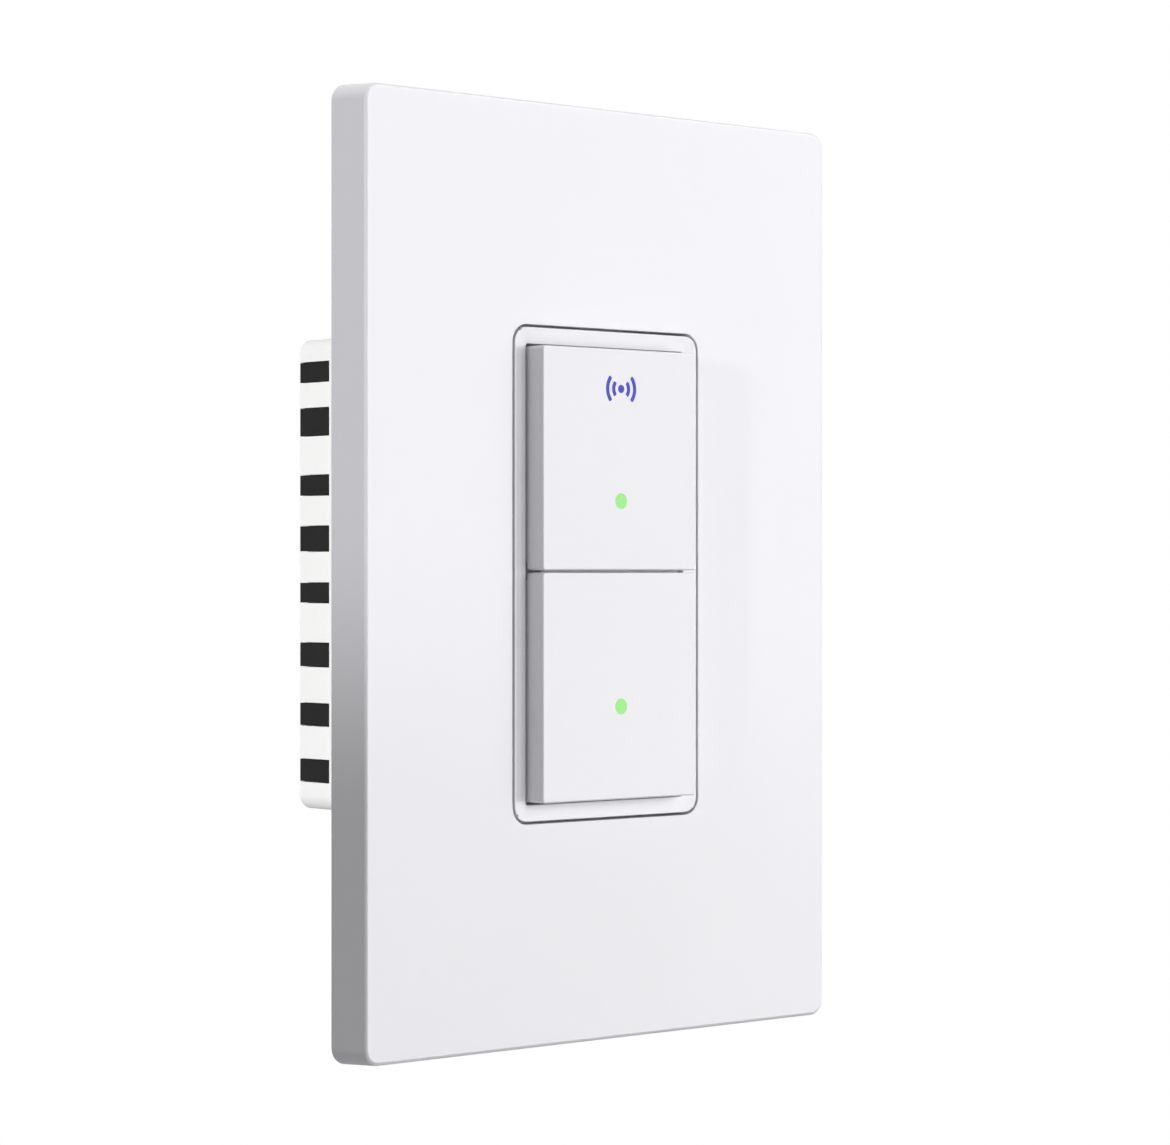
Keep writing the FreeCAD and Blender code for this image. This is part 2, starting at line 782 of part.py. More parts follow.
def slots():
    """Lower and upper edge of each slot that the long sides of the rear cover have room for."""
    tops = [rear_h / 2 - down + tall / 2 for down, tall in zip(slots_from_top, slot_heights)]
    edges = [(top - tall, top) for top, tall in zip(tops, slot_heights)]
    return [(z0, z1) for z0, z1 in edges if z0 > rear_wall - rear_h / 2]


def rear_cover():
    cover = slab(rear_w, rear_h, rear_corner_r, shell_depth, rear_face)
    cover = cover.makeFillet(rear_edge_r, edges_at(cover, rear_face))
    spigot_w = shell_w - 2 * shell_wall - 2 * spigot_gap
    spigot_h = shell_h - 2 * shell_wall - 2 * spigot_gap
    spigot_r = shell_corner_r - shell_wall
    cover = cover.fuse(slab(spigot_w, spigot_h, spigot_r, shell_depth - spigot_len, shell_depth))
    in_w = rear_w - 2 * rear_wall
    in_h = rear_h - 2 * rear_wall
    cover = cover.cut(slab(in_w, in_h, rear_corner_r - rear_wall, shell_depth - spigot_len, rear_inner))
    for x, z in corners(post_x, post_z):
        cover = cover.fuse(rod_y(x, z, post_r, power_rear, rear_face - rear_edge_r))
        cover = cover.cut(rod_y(x, z, housing_screw_r + post_clear, power_rear, rear_face))
        sunk = rod_y(x, z, housing_head_r + post_clear, rear_face - housing_head_h, rear_face)
        cover = cover.cut(sunk)
    for z0, z1 in slots():
        for sx in (-1, 1):
            x0, x1 = sorted((sx * in_w / 2, sx * rear_w))
            cover = cover.cut(block(x0, x1, shell_depth, rear_face, z0, z1))
    window = block_frame(window_frame_gap, rear_face)
    return cover.cut(window).removeSplitter()


def block_frame(grow, y1):
    """Raised part of the terminal block that fills the window of the rear cover."""
    half = block_w / 2 - block_step + grow
    z0 = block_bottom_z + block_step + block_lip - grow
    z1 = block_top_z - block_step + grow
    return block(-half, half, rear_inner - block_rear_gap, y1, z0, z1)


def slot_liner():
    """Dark insulating tub whose lugs fill the slots of the rear cover."""
    w = rear_w - 2 * rear_wall - 2 * liner_gap
    h = rear_h - 2 * rear_wall - 2 * liner_gap
    tub_end = rear_inner - liner_gap
    liner = ring(w, h, liner_corner_r, liner_wall, power_rear, tub_end)
    half = block_w / 2 + post_clear
    liner = liner.cut(block(-half, half, power_rear, rear_inner, -h, block_top_z))
    outer = rear_w / 2 - lug_recess
    slot_floor = rear_w / 2 - rear_wall + lug_gap
    for z0, z1 in slots():
        for sx in (-1, 1):
            a, b = sorted((sx * (w - liner_wall) / 2, sx * outer))
            liner = liner.fuse(block(a, b, shell_depth + lug_gap, tub_end, z0 + lug_gap, z1 - lug_gap))
            a, b = sorted((sx * slot_floor, sx * outer))
            end = rear_face - lug_end_recess
            liner = liner.fuse(block(a, b, shell_depth + lug_gap, end, z0 + lug_gap, z1 - lug_gap))
    return liner.removeSplitter()


def housing_screws():
    screws = []
    for x, z in corners(post_x, post_z):
        length = rear_face - housing_head_h - (power_board_y - housing_screw_bite)
        front = screw_y(x, z, housing_screw_r, housing_head_r, housing_head_h, 0, length)
        placed = turned_round(front, 0)
        placed.translate(V(0, rear_face, 0))
        screws.append(placed)
    return Part.makeCompound(screws)


def post_holes(board, y0, y1, r):
    for x, z in corners(post_x, post_z):
        board = board.cut(rod_y(x, z, r, y0, y1))
    return board


def control_board():
    board = slab(board_w, board_h, board_corner_r, board_front, board_rear)
    board = post_holes(board, board_front, board_rear, post_r + post_clear)
    hole_r = board_screw_r + board_screw_clear
    for sx in (-1, 1):
        board = board.cut(rod_y(sx * board_screw_x, 0, hole_r, board_front, board_rear))
    for x, z in corners(yoke_screw_x, yoke_screw_z):
        boss_room = yoke_screw_r + yoke_screw_wall + post_clear
        board = board.cut(rod_y(x, z, boss_room, board_front, board_rear))
    return board


def board_screws():
    screws = []
    for sx in (-1, 1):
        length = board_t + board_screw_bite
        front = screw_y(sx * board_screw_x, 0, board_screw_r, board_head_r, board_head_h, 0, length)
        placed = turned_round(front, 0)
        placed.translate(V(0, board_rear + board_head_h, 0))
        screws.append(placed)
    return Part.makeCompound(screws)


def key_switch(z):
    body = slab(key_w, key_w, key_corner_r, key_front, board_front, 0, z)
    body = body.makeChamfer(key_edge, edges_at(body, key_front))
    return body.cut(rod_y(0, z, plunger_r + plunger_clear, key_front, key_front + key_bore))


def plunger(z):
    stem = rod_y(0, z, plunger_r, plunger_tip, key_front + plunger_root)
    return stem.makeChamfer(plunger_edge, edges_at(stem, plunger_tip))


def indicator_lights():
    lamps = []
    for z in (upper_window_z, lower_window_z, symbol_z):
        lamps.append(slab(lamp_l, lamp_w, lamp_corner_r, board_front - lamp_h, board_front, 0, z))
    return Part.makeCompound(lamps)


def radio_board():
    return slab(radio_w, radio_l, radio_corner_r, board_rear, board_rear + radio_t, 0, radio_z)


def radio_can():
    y0 = board_rear + radio_t
    z = radio_z - (radio_l - can_l) / 2 + can_margin
    can = slab(can_w, can_l, can_corner_r, y0, y0 + can_h, 0, z)
    can = can.makeChamfer(can_edge, edges_at(can, y0 + can_h))
    inner_w = can_w - 2 * can_wall
    inner_l = can_l - 2 * can_wall
    return can.cut(slab(inner_w, inner_l, can_corner_r - can_wall, y0, y0 + can_h - can_wall, 0, z))


def board_header():
    long = header_pins * header_pitch + 2 * header_margin
    z0 = header_z - long / 2
    strip = block(header_x - header_w / 2, header_x + header_w / 2, board_rear, power_board_y, z0, z0 + long)
    side = header_x + header_w / 2
    half = header_notch / 2
    for i in range(header_pins - 1):
        z = z0 + header_margin + (i + 1) * header_pitch
        strip = strip.cut(block(side - header_notch, side, board_rear, power_board_y, z - half, z + half))
    return strip


def power_board():
    board = slab(board_w, board_h, board_corner_r, power_board_y, power_rear)
    return post_holes(board, power_board_y, power_rear, housing_screw_r + post_clear)


def relay(sx):
    body = slab(relay_w, relay_l, relay_corner_r, power_rear, power_rear + relay_h, sx * relay_x, relay_z)
    return body.makeChamfer(part_edge, edges_at(body, power_rear + relay_h))


def transformer_core():
    """Two legs and two yokes round the winding, as one stacked core."""
    y0 = power_rear
    x0 = core_x - core_w / 2
    z0 = core_z - core_l / 2
    core = block(x0, x0 + core_w, y0, y0 + core_h, z0, z0 + core_l)
    for sx in (-1, 1):
        a = core_x + sx * core_middle / 2
        b = core_x + sx * (core_w / 2 - core_leg / 2)
        xa, xb = sorted((a, b))
        core = core.cut(block(xa, xb, y0, y0 + core_h, z0 + core_leg, z0 + core_l - core_leg))
    return core


def transformer_winding():
    """Bobbin round the middle leg."""
    y0 = power_rear
    z0 = core_z - core_l / 2 + core_leg + winding_gap
    z1 = core_z + core_l / 2 - core_leg - winding_gap
    outer_x = core_w / 2 - core_leg / 2 - winding_gap
    inner_x = core_middle / 2 + winding_gap
    top = y0 + core_h + winding_rise
    parts = block(core_x - outer_x, core_x + outer_x, y0 + core_h + winding_gap, top, z0, z1)
    for sx in (-1, 1):
        xa, xb = sorted((core_x + sx * inner_x, core_x + sx * outer_x))
        parts = parts.fuse(block(xa, xb, y0, top, z0, z1))
    return parts.removeSplitter()


def round_capacitor():
    can = rod_y(can_cap_x, can_cap_z, can_cap_r, power_rear, power_rear + can_cap_h)
    return can.makeChamfer(part_edge, edges_at(can, power_rear + can_cap_h))


def film_capacitor():
    body = slab(film_w, film_l, film_corner_r, power_rear, power_rear + film_h, 0, film_z)
    return body.makeChamfer(part_edge / 2, edges_at(body, power_rear + film_h))


def varistor():
    y = power_rear + lead_lift + disc_r
    disc = rod_x(y, disc_z, disc_r, disc_x - disc_t / 2, disc_x + disc_t / 2)
    disc = disc.makeChamfer(disc_edge, [e for e in disc.Edges if e.Closed])
    for sz in (-1, 1):
        disc = disc.fuse(rod_y(disc_x, disc_z + sz * lead_from_middle, lead_r, power_rear, y))
    return disc


def fuse():
    body = rod_y(disc_x, fuse_z, fuse_r, power_rear, power_rear + fuse_h)
    return body.makeChamfer(part_edge, edges_at(body, power_rear + fuse_h))


def terminal_block():
    """One module for each pole, clicked together side by side."""
    z0 = block_bottom_z
    end = rear_inner + block_rise
    row = block(-block_w / 2, block_w / 2, power_rear, rear_inner - block_rear_gap, z0, block_top_z)
    row = row.fuse(block_frame(0, end)).removeSplitter()
    modules = []
    for x in pole_places():
        first = -block_w / 2 if x == min(pole_places()) else x - pole_pitch / 2
        last = block_w / 2 if x == max(pole_places()) else x + pole_pitch / 2
        module = row.common(block(first, last, power_rear, end, z0, block_top_z))
        module = module.cut(rod_z(x, wire_y, wire_r, z0, z0 + wire_bore_len))
        module = module.cut(clamp_room(x, clamp_gap))
        module = module.cut(rod_y(x, clamp_screw_z, clamp_head_r + clamp_head_gap, clamp_head_y(), end))
        module = module.cut(rod_y(x, clamp_screw_z, clamp_screw_r + clamp_screw_clear, wire_y, end))
        modules.append(module)
    return Part.makeCompound(modules)


def clamp_head_y():
    """Depth of the under side of a terminal screw's head."""
    return rear_inner + block_rise - clamp_head_sink - clamp_head_h


def clamp_room(x, grow):
    half = clamp_w / 2 + grow
    return block(
        x - half, x + half, wire_y - half, wire_y + half,
        clamp_screw_z - half, clamp_screw_z + half,
    )


def terminal_clamps():
    clamps = []
    for x in pole_places():
        cage = clamp_room(x, 0)
        hole = clamp_w / 2 - clamp_t
        z0 = clamp_screw_z - clamp_w / 2
        cage = cage.cut(block(x - hole, x + hole, wire_y - hole, wire_y + hole, z0, z0 + clamp_w))
        cage = cage.cut(rod_y(x, clamp_screw_z, clamp_screw_r + thread_clear, wire_y, wire_y + clamp_w))
        clamps.append(cage)
    return Part.makeCompound(clamps)


def terminal_screws():
    screws = []
    for x in pole_places():
        length = clamp_head_y() - wire_y - wire_r - clamp_gap
        front = screw_y(x, clamp_screw_z, clamp_screw_r, clamp_head_r, clamp_head_h, 0, length)
        placed = turned_round(front, 0)
        placed.translate(V(0, clamp_head_y() + clamp_head_h, 0))
        screws.append(placed)
    return Part.makeCompound(screws)


def pieces():
    upper_key = split_z + key_from_split
    lower_key = split_z - key_from_split
    return {
        "cover_plate": cover_plate(),
        "sub_plate": sub_plate(),
        "sub_plate_screws": sub_plate_screws(),
        "mounting_yoke": mounting_yoke(),
        "yoke_screws": yoke_screws(),
        "box_screws": box_screws(),
        "screw_retainers": screw_retainers(),
        "ground_screw": ground_screw(),
        "front_bezel": front_bezel(),
        "upper_button": upper_button(),
        "lower_button": lower_button(),
        "upper_light_pipe": light_pipe(upper_window_z),
        "lower_light_pipe": light_pipe(lower_window_z),
        "symbol_light": symbol_light(),
        "upper_plunger": plunger(upper_key),
        "lower_plunger": plunger(lower_key),
        "upper_key_switch": key_switch(upper_key),
        "lower_key_switch": key_switch(lower_key),
        "indicator_lights": indicator_lights(),
        "control_board": control_board(),
        "board_screws": board_screws(),
        "radio_board": radio_board(),
        "radio_can": radio_can(),
        "board_header": board_header(),
        "front_shell": front_shell(),
        "rear_cover": rear_cover(),
        "slot_liner": slot_liner(),
        "housing_screws": housing_screws(),
        "power_board": power_board(),
        "left_relay": relay(-1),
        "right_relay": relay(1),
        "transformer_core": transformer_core(),
        "transformer_winding": transformer_winding(),
        "round_capacitor": round_capacitor(),
        "film_capacitor": film_capacitor(),
        "varistor": varistor(),
        "fuse": fuse(),
        "terminal_block": terminal_block(),
        "terminal_clamps": terminal_clamps(),
        "terminal_screws": terminal_screws(),
    }


os.makedirs("parts", exist_ok=True)
for name, shape in pieces().items():
    shape.exportStep(f"parts/{name}.step")
    box = shape.BoundBox
    print(f"{name}: {len(shape.Solids)} solids, volume {shape.Volume:.1f}, valid {shape.isValid()},"
          f" size {box.XLength:.2f} x {box.YLength:.2f} x {box.ZLength:.2f}")
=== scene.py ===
# %% [markdown]
# A double light switch: a plain cover plate, a narrow insert with two press buttons, and the housing
# that hangs in the wall box behind them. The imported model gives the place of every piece, so the
# script loads it first and takes the outer measures from there. Each later cell makes one piece.

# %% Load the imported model
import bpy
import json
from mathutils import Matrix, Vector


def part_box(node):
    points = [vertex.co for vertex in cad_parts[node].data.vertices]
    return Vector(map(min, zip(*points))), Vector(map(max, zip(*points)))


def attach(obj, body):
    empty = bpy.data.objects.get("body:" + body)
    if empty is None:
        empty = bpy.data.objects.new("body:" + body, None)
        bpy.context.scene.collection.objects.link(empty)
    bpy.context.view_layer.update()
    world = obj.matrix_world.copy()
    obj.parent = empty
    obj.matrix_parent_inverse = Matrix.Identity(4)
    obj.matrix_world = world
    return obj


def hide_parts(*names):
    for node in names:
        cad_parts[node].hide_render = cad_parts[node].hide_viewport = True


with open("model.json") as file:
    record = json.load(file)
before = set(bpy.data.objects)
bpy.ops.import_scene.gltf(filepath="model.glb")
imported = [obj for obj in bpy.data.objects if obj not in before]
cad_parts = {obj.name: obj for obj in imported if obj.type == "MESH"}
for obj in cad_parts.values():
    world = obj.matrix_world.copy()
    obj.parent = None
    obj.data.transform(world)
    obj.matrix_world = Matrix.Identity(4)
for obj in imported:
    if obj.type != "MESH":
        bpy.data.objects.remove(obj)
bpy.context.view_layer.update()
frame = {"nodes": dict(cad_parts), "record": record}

import json
import math
import bmesh
import bpy
from mathutils import Matrix, Vector

scene = bpy.context.scene
scene.view_settings.view_transform = "Standard"
mm = 0.001

# %% [markdown]
# The photograph was taken from the left, level with the middle of the switch, with a long lens. The
# plate's own edges give the angle, the distance and the lens, so the camera is placed by numbers.

# %% Camera
camera = bpy.data.objects.new("camera", bpy.data.cameras.new("camera"))
camera.data.lens = 106.3
camera.data.clip_start = 0.01
camera.location = (-0.3119, -0.3614, 0.000245)
camera.rotation_euler = (math.radians(90), 0, math.radians(-41))
scene.collection.objects.link(camera)
scene.camera = camera
print("camera:", tuple(round(c, 4) for c in camera.location))

# %% [markdown]
# The room gives an even fill from all round. Its backdrop is white for the camera, for reflections and
# for what is seen through clear pieces, and dim for the rest, so it doesn't flood the object.

# %% Room
world = bpy.data.worlds.new("room")
world.use_nodes = True
room = world.node_tree
backdrop = room.nodes["Background"]
backdrop.inputs["Color"].default_value = (1, 1, 1, 1)
fill_level = 0.25
path = room.nodes.new("ShaderNodeLightPath")
seen = room.nodes.new("ShaderNodeMath")
seen.operation = "MAXIMUM"
room.links.new(path.outputs["Is Camera Ray"], seen.inputs[0])
room.links.new(path.outputs["Is Glossy Ray"], seen.inputs[1])
through = room.nodes.new("ShaderNodeMath")
through.operation = "MAXIMUM"
room.links.new(seen.outputs[0], through.inputs[0])
room.links.new(path.outputs["Is Transmission Ray"], through.inputs[1])
level = room.nodes.new("ShaderNodeMapRange")
level.inputs["To Min"].default_value = fill_level
level.inputs["To Max"].default_value = 1.0
room.links.new(through.outputs[0], level.inputs["Value"])
room.links.new(level.outputs["Result"], backdrop.inputs["Strength"])
scene.world = world
print("fill:", fill_level)

# %% [markdown]
# White plastic shows its form only through soft changes of light. A front lamp lights the face, and a
# large panel in the camera's mirror direction lays an even sheen over it, which no other side
# catches. A lamp from above shows the upper sides, and one from the rear left the housing.


# %% Soft lamps
def lamp(name, place, aim, size, power):
    """Square soft lamp that looks from place to aim."""
    made = bpy.data.objects.new(name, bpy.data.lights.new(name, "AREA"))
    made.data.size = size
    made.data.energy = power
    made.location = place
    made.rotation_euler = (Vector(aim) - Vector(place)).to_track_quat("-Z", "Y").to_euler()
    scene.collection.objects.link(made)
    return made


front_place = (0.5, -1.75, 0.25)
front_lamp = lamp("front_lamp", front_place, (0, 0, 0), size=1.0, power=9.4)
button_lamp = lamp("button_lamp", front_place, (0, 0, 0), size=1.0, power=1.9)
top_lamp = lamp("top_lamp", (0, 0.05, 1.6), (0, 0, 0), size=0.5, power=9)
for matt in (front_lamp, button_lamp, top_lamp):
    matt.visible_glossy = False
sheen = lamp("sheen_panel", (0.98, -1.14, 0.45), (0, 0, 0.12), size=2.6, power=112)
sheen.visible_diffuse = False
sheen.visible_camera = False
housing_lamp = lamp("housing_lamp", (-0.8, 0.45, 0.0), (0, 0.02, 0), size=0.5, power=6.2)

# %% [markdown]
# A spot has an edge to its light, which a soft lamp lacks. It is aimed at the upper end of the plate's
# left side, so that its rim falls a little below the middle and the side darkens there.

# %% Spot on the left side
side_lamp = bpy.data.objects.new("side_lamp", bpy.data.lights.new("side_lamp", "SPOT"))
side_lamp.data.energy = 6.5
side_lamp.data.spot_size = math.radians(18.9)
side_lamp.data.spot_blend = 0.55
side_lamp.data.shadow_soft_size = 0.006
side_lamp.location = (-0.74, -0.17, 0.12)
side_aim = Vector((-0.0415, 0, 0.089)) - side_lamp.location
side_lamp.rotation_euler = side_aim.to_track_quat("-Z", "Y").to_euler()
scene.collection.objects.link(side_lamp)
print("spot angle:", round(math.degrees(side_lamp.data.spot_size), 1))

# %% [markdown]
# The switch is shown free in the air, as for a shop picture. The pale floor lies well below it, out
# of the level view, and shows in the views from above.

# %% Floor
floor_drop = -0.5
bm = bmesh.new()
bmesh.ops.create_circle(bm, cap_ends=True, segments=96, radius=1.3)
bmesh.ops.translate(bm, vec=(0, 0, floor_drop), verts=bm.verts)
floor_mesh = bpy.data.meshes.new("floor")
bm.to_mesh(floor_mesh)
bm.free()
floor = bpy.data.objects.new("floor", floor_mesh)
scene.collection.objects.link(floor)
print("floor at", floor_drop)

# %% [markdown]
# A material is a small graph of nodes. Sums on sockets read best as plain expressions, so one class
# wraps a socket and adds a Math node for each operator, and one method makes any other node.


# %% Shader helpers
class Value:
    """One output of a node, on which sums can be written."""

    def __init__(self, finish, socket):
        self.finish = finish
        self.socket = socket

    def sum(self, operation, first, second):
        return self.finish.node("ShaderNodeMath", {"operation": operation}, {0: first, 1: second})

    def __add__(self, other):
        return self.sum("ADD", self, other)

    def __sub__(self, other):
        return self.sum("SUBTRACT", self, other)

    def __rsub__(self, other):
        return self.sum("SUBTRACT", other, self)

    def __mul__(self, other):
        return self.sum("MULTIPLY", self, other)

    def __gt__(self, other):
        return self.sum("GREATER_THAN", self, other)

    __radd__ = __add__
    __rmul__ = __mul__


class Finish:
    """One material and its graph."""

    def __init__(self, name, **fixed):
        self.material = bpy.data.materials.new(name)
        self.material.use_nodes = True
        self.tree = self.material.node_tree
        self.shader = self.tree.nodes["Principled BSDF"]
        self.place = self.node("ShaderNodeTexCoord", output="Object")
        for socket_name, value in fixed.items():
            self.feed(socket_name.replace("_", " "), value)

    def node(self, kind, settings=None, inputs=None, output=0):
        made = self.tree.nodes.new(kind)
        for key, value in (settings or {}).items():
            setattr(made, key, value)
        for key, value in (inputs or {}).items():
            self.join(value, made.inputs[key])
        return Value(self, made.outputs[output])

    def join(self, value, socket):
        if isinstance(value, Value):
            self.tree.links.new(value.socket, socket)
        else:
            is_colour = isinstance(value, tuple) and len(value) == 3
            socket.default_value = (*value, 1) if is_colour else value

    def feed(self, name, value):
        self.join(value, self.shader.inputs[name])

    def noise(self, scale, detail=3.0, stretch=(1, 1, 1)):
        mapped = self.node("ShaderNodeMapping", None, {"Vector": self.place})
        mapped.socket.node.inputs["Scale"].default_value = stretch
        return self.node("ShaderNodeTexNoise", None,
                         {"Vector": mapped, "Scale": scale, "Detail": detail})

    def mix(self, factor, first, second):
        return self.node("ShaderNodeMix", {"data_type": "RGBA"}, {0: factor, 6: first, 7: second},
                         output=2)

    def bump(self, height, depth):
        self.feed("Normal", self.node("ShaderNodeBump", None,
                                      {"Height": height, "Distance": depth, "Strength": 1.0}))


print("shader helpers ready")

# %% [markdown]
# Moulded plastic is never perfectly even: its colour drifts a little with the wall behind it, its
# gloss breaks into faint patches, and the mould leaves a very fine grain. Three noises of different
# size give that. The gloss face has almost no grain, the frame and the housing have more.


# %% Plastics
def plastic(name, colour, rough, grain, depth, drift=0.02, **fixed):
    made = Finish(name, **fixed)
    darker = tuple(c * (1 - drift) for c in colour)
    made.feed("Base Color", made.mix(made.noise(35, 2.0), colour, darker))
    made.feed("Roughness", made.noise(220, 4.0) * 0.12 + (rough - 0.06))
    made.bump(made.noise(grain, 5.0), depth)
    return made


finishes = {
    "face_plastic": plastic("white_gloss_plastic", (0.895, 0.888, 0.928), 0.34, 2600, 0.000004),
    "frame_plastic": plastic("white_satin_plastic", (0.87, 0.87, 0.86), 0.5, 1800, 0.00002),
    "housing_plastic": plastic("white_fine_grain_plastic", (0.91, 0.91, 0.905), 0.55, 2200, 0.00003),
    "black_plastic": plastic("black_matt_plastic", (0.011, 0.011, 0.011), 0.8, 1500, 0.00003, 0.2,
                             Specular_IOR_Level=0.15),
    "plunger_plastic": plastic("grey_key_plastic", (0.1, 0.11, 0.12), 0.5, 1500, 0.00001, 0.1),
    "relay_plastic": plastic("dark_blue_relay_plastic", (0.012, 0.02, 0.05), 0.38, 1300, 0.00001,
                             0.2),
    "terminal_plastic": plastic("dark_grey_terminal_plastic", (0.035, 0.037, 0.04), 0.5, 1500,
                                0.00002, 0.2),
    "lamp_body": plastic("milky_lamp_resin", (0.83, 0.8, 0.62), 0.25, 900, 0.000004, 0.05),
    "film_box": plastic("yellow_potted_box", (0.55, 0.36, 0.03), 0.42, 1200, 0.00002, 0.1),
    "fuse_brown": plastic("brown_fuse_cap", (0.085, 0.03, 0.012), 0.3, 1200, 0.00001, 0.15),
    "sleeve": plastic("black_shrink_sleeve", (0.01, 0.011, 0.014), 0.3, 500, 0.00003, 0.2),
    "disc_blue": plastic("blue_dipped_resin", (0.02, 0.07, 0.32), 0.22, 260, 0.00012, 0.25),
}
print("plastics:", len(finishes))

# %% [markdown]
# The metal parts are zinc plated steel, turned brass, tinned sheet and a lacquered screw. Rolled sheet
# keeps faint lines along its length, so its noise is stretched. Plating shows as cloudy patches in
# both colour and gloss, and a little wear makes the roughness uneven.


# %% Metals
def metal(name, colour, rough, stretch, cloud):
    made = Finish(name, Metallic=1.0)
    patches = made.noise(90, 4.0)
    dull = tuple(c * (1 - cloud) for c in colour)
    made.feed("Base Color", made.mix(patches, colour, dull))
    lines = made.noise(900, 3.0, stretch)
    made.feed("Roughness", lines * 0.16 + patches * 0.1 + (rough - 0.1))
    made.bump(lines, 0.000008)
    return made


finishes["zinc_steel"] = metal("zinc_plated_sheet", (0.62, 0.63, 0.65), 0.36, (1, 1, 0.06), 0.18)
finishes["screw_steel"] = metal("bright_plated_screw", (0.68, 0.68, 0.68), 0.24, (1, 0.2, 1), 0.12)
finishes["brass"] = metal("bare_brass", (0.72, 0.5, 0.18), 0.28, (1, 1, 0.2), 0.15)
finishes["tin"] = metal("tinned_sheet", (0.7, 0.71, 0.72), 0.32, (0.1, 1, 1), 0.1)
lacquer = Finish("green_lacquered_screw", Metallic=0.55, Coat_Weight=0.4)
lacquer.feed("Base Color", lacquer.mix(lacquer.noise(700, 4.0), (0.02, 0.2, 0.06),
                                       (0.01, 0.12, 0.03)))
lacquer.feed("Roughness", lacquer.noise(900) * 0.2 + 0.25)
lacquer.bump(lacquer.noise(1400), 0.00001)
finishes["green_screw"] = lacquer
print("plastics and metals:", len(finishes))

# %% [markdown]
# Inside are a pressed fibre washer, a grey ferrite core, yellow winding tape and green circuit boards.
# A board's tracks are copper under the green mask: a brick pattern gives their runs, and a second,
# round pattern gives the solder pads.

# %% Fibre, ferrite, tape and circuit board
fibre = Finish("red_pressed_fibre")
long_fibres = (1, 1, 0.3)
fibre.feed("Base Color", fibre.mix(fibre.noise(1600, 6.0, long_fibres), (0.34, 0.04, 0.025),
                                   (0.2, 0.02, 0.015)))
fibre.feed("Roughness", fibre.noise(900) * 0.15 + 0.7)
fibre.bump(fibre.noise(2600, 5.0, long_fibres), 0.00004)
finishes["fibre"] = fibre

ferrite = Finish("grey_ferrite")
ferrite.feed("Base Color", ferrite.mix(ferrite.noise(1800, 6.0), (0.03, 0.03, 0.032),
                                       (0.014, 0.014, 0.015)))
ferrite.feed("Roughness", ferrite.noise(700) * 0.2 + 0.42)
ferrite.bump(ferrite.noise(1500, 6.0), 0.00003)
finishes["ferrite"] = ferrite

tape = Finish("yellow_winding_tape")
layers = tape.noise(700, 2.0, (0.05, 1, 0.05))
tape.feed("Base Color", tape.mix(layers, (0.7, 0.43, 0.04), (0.52, 0.3, 0.02)))
tape.feed("Roughness", layers * 0.2 + 0.28)
tape.bump(layers, 0.00003)
finishes["winding_tape"] = tape

board = Finish("green_circuit_board")
flat = board.node("ShaderNodeMapping", None, {"Vector": board.place})
flat.socket.node.inputs["Rotation"].default_value = (math.radians(90), 0, 0)
tracks = board.node("ShaderNodeTexBrick", None, {
    "Vector": flat, "Color1": (1, 1, 1), "Color2": (1, 1, 1), "Mortar": (0, 0, 0), "Scale": 260.0,
    "Mortar Size": 0.035, "Brick Width": 0.9, "Row Height": 0.3}, output="Fac")
pads = board.node("ShaderNodeTexVoronoi", {"feature": "F1"}, {"Vector": board.place, "Scale": 330.0})
pad = 1 - (pads > 0.28)
mask = board.mix(tracks, (0.006, 0.085, 0.03), (0.012, 0.16, 0.055))
board.feed("Base Color", board.mix(pad, mask, (0.62, 0.62, 0.6)))
board.feed("Metallic", pad * 0.9)
board.feed("Roughness", board.noise(600) * 0.12 + 0.28)
board.bump(tracks * 0.5 + pad, 0.00003)
finishes["board"] = board
print("inner finishes:", len(finishes))

# %% [markdown]
# A lit window is a clear plastic rod with a lamp behind it. From outside it reads as a flat disc of
# light, so most of its colour is emission and the rest is plain plastic. A very faint haze keeps it
# from looking painted.


# %% Lit windows
def lit(name, glow, share=0.7):
    made = Finish(name, Emission_Strength=share, Specular_IOR_Level=0.1)
    edge = tuple(c * 0.93 for c in glow)
    haze = made.noise(500, 1.0)
    made.feed("Emission Color", made.mix(haze, glow, edge))
    body = tuple(c * (1 - share) for c in glow)
    made.feed("Base Color", made.mix(haze, body, tuple(c * 0.9 for c in body)))
    made.feed("Roughness", haze * 0.1 + 0.5)
    return made


finishes["green_light"] = lit("lit_green_window", (0.392, 0.955, 0.279))
finishes["blue_light"] = lit("lit_blue_symbol", (0.065, 0.068, 0.56))
print("finishes:", len(finishes))

# %% [markdown]
# The floor is plain matt white. A soft glow that only the camera sees makes it pale without sending
# more light up to the switch.

# %% Floor finish
pale = Finish("pale_floor", Emission_Strength=0.42)
in_view = pale.node("ShaderNodeLightPath")
pale.feed("Emission Color", pale.mix(in_view, (0, 0, 0), (1, 1, 1)))
pale.feed("Base Color", pale.mix(pale.noise(3, 2.0), (0.86, 0.86, 0.86), (0.84, 0.84, 0.84)))
pale.feed("Roughness", pale.noise(40) * 0.1 + 0.6)
floor.data.materials.append(pale.material)
print("floor finish:", pale.material.name)

# %% [markdown]
# Every node first gets its finish. A node whose shape is already right simply keeps it. The ones that
# are rebuilt below are hidden by their new pieces.

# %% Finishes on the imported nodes
slot_of = {s["node"]: s["material_slot"] for s in frame["record"]["subparts"]}
for name, node in frame["nodes"].items():
    finish = finishes[slot_of[name]].material
    if not node.material_slots:
        node.data.materials.append(finish)
    for place in node.material_slots:
        place.material = finish
print("dressed:", len(slot_of))

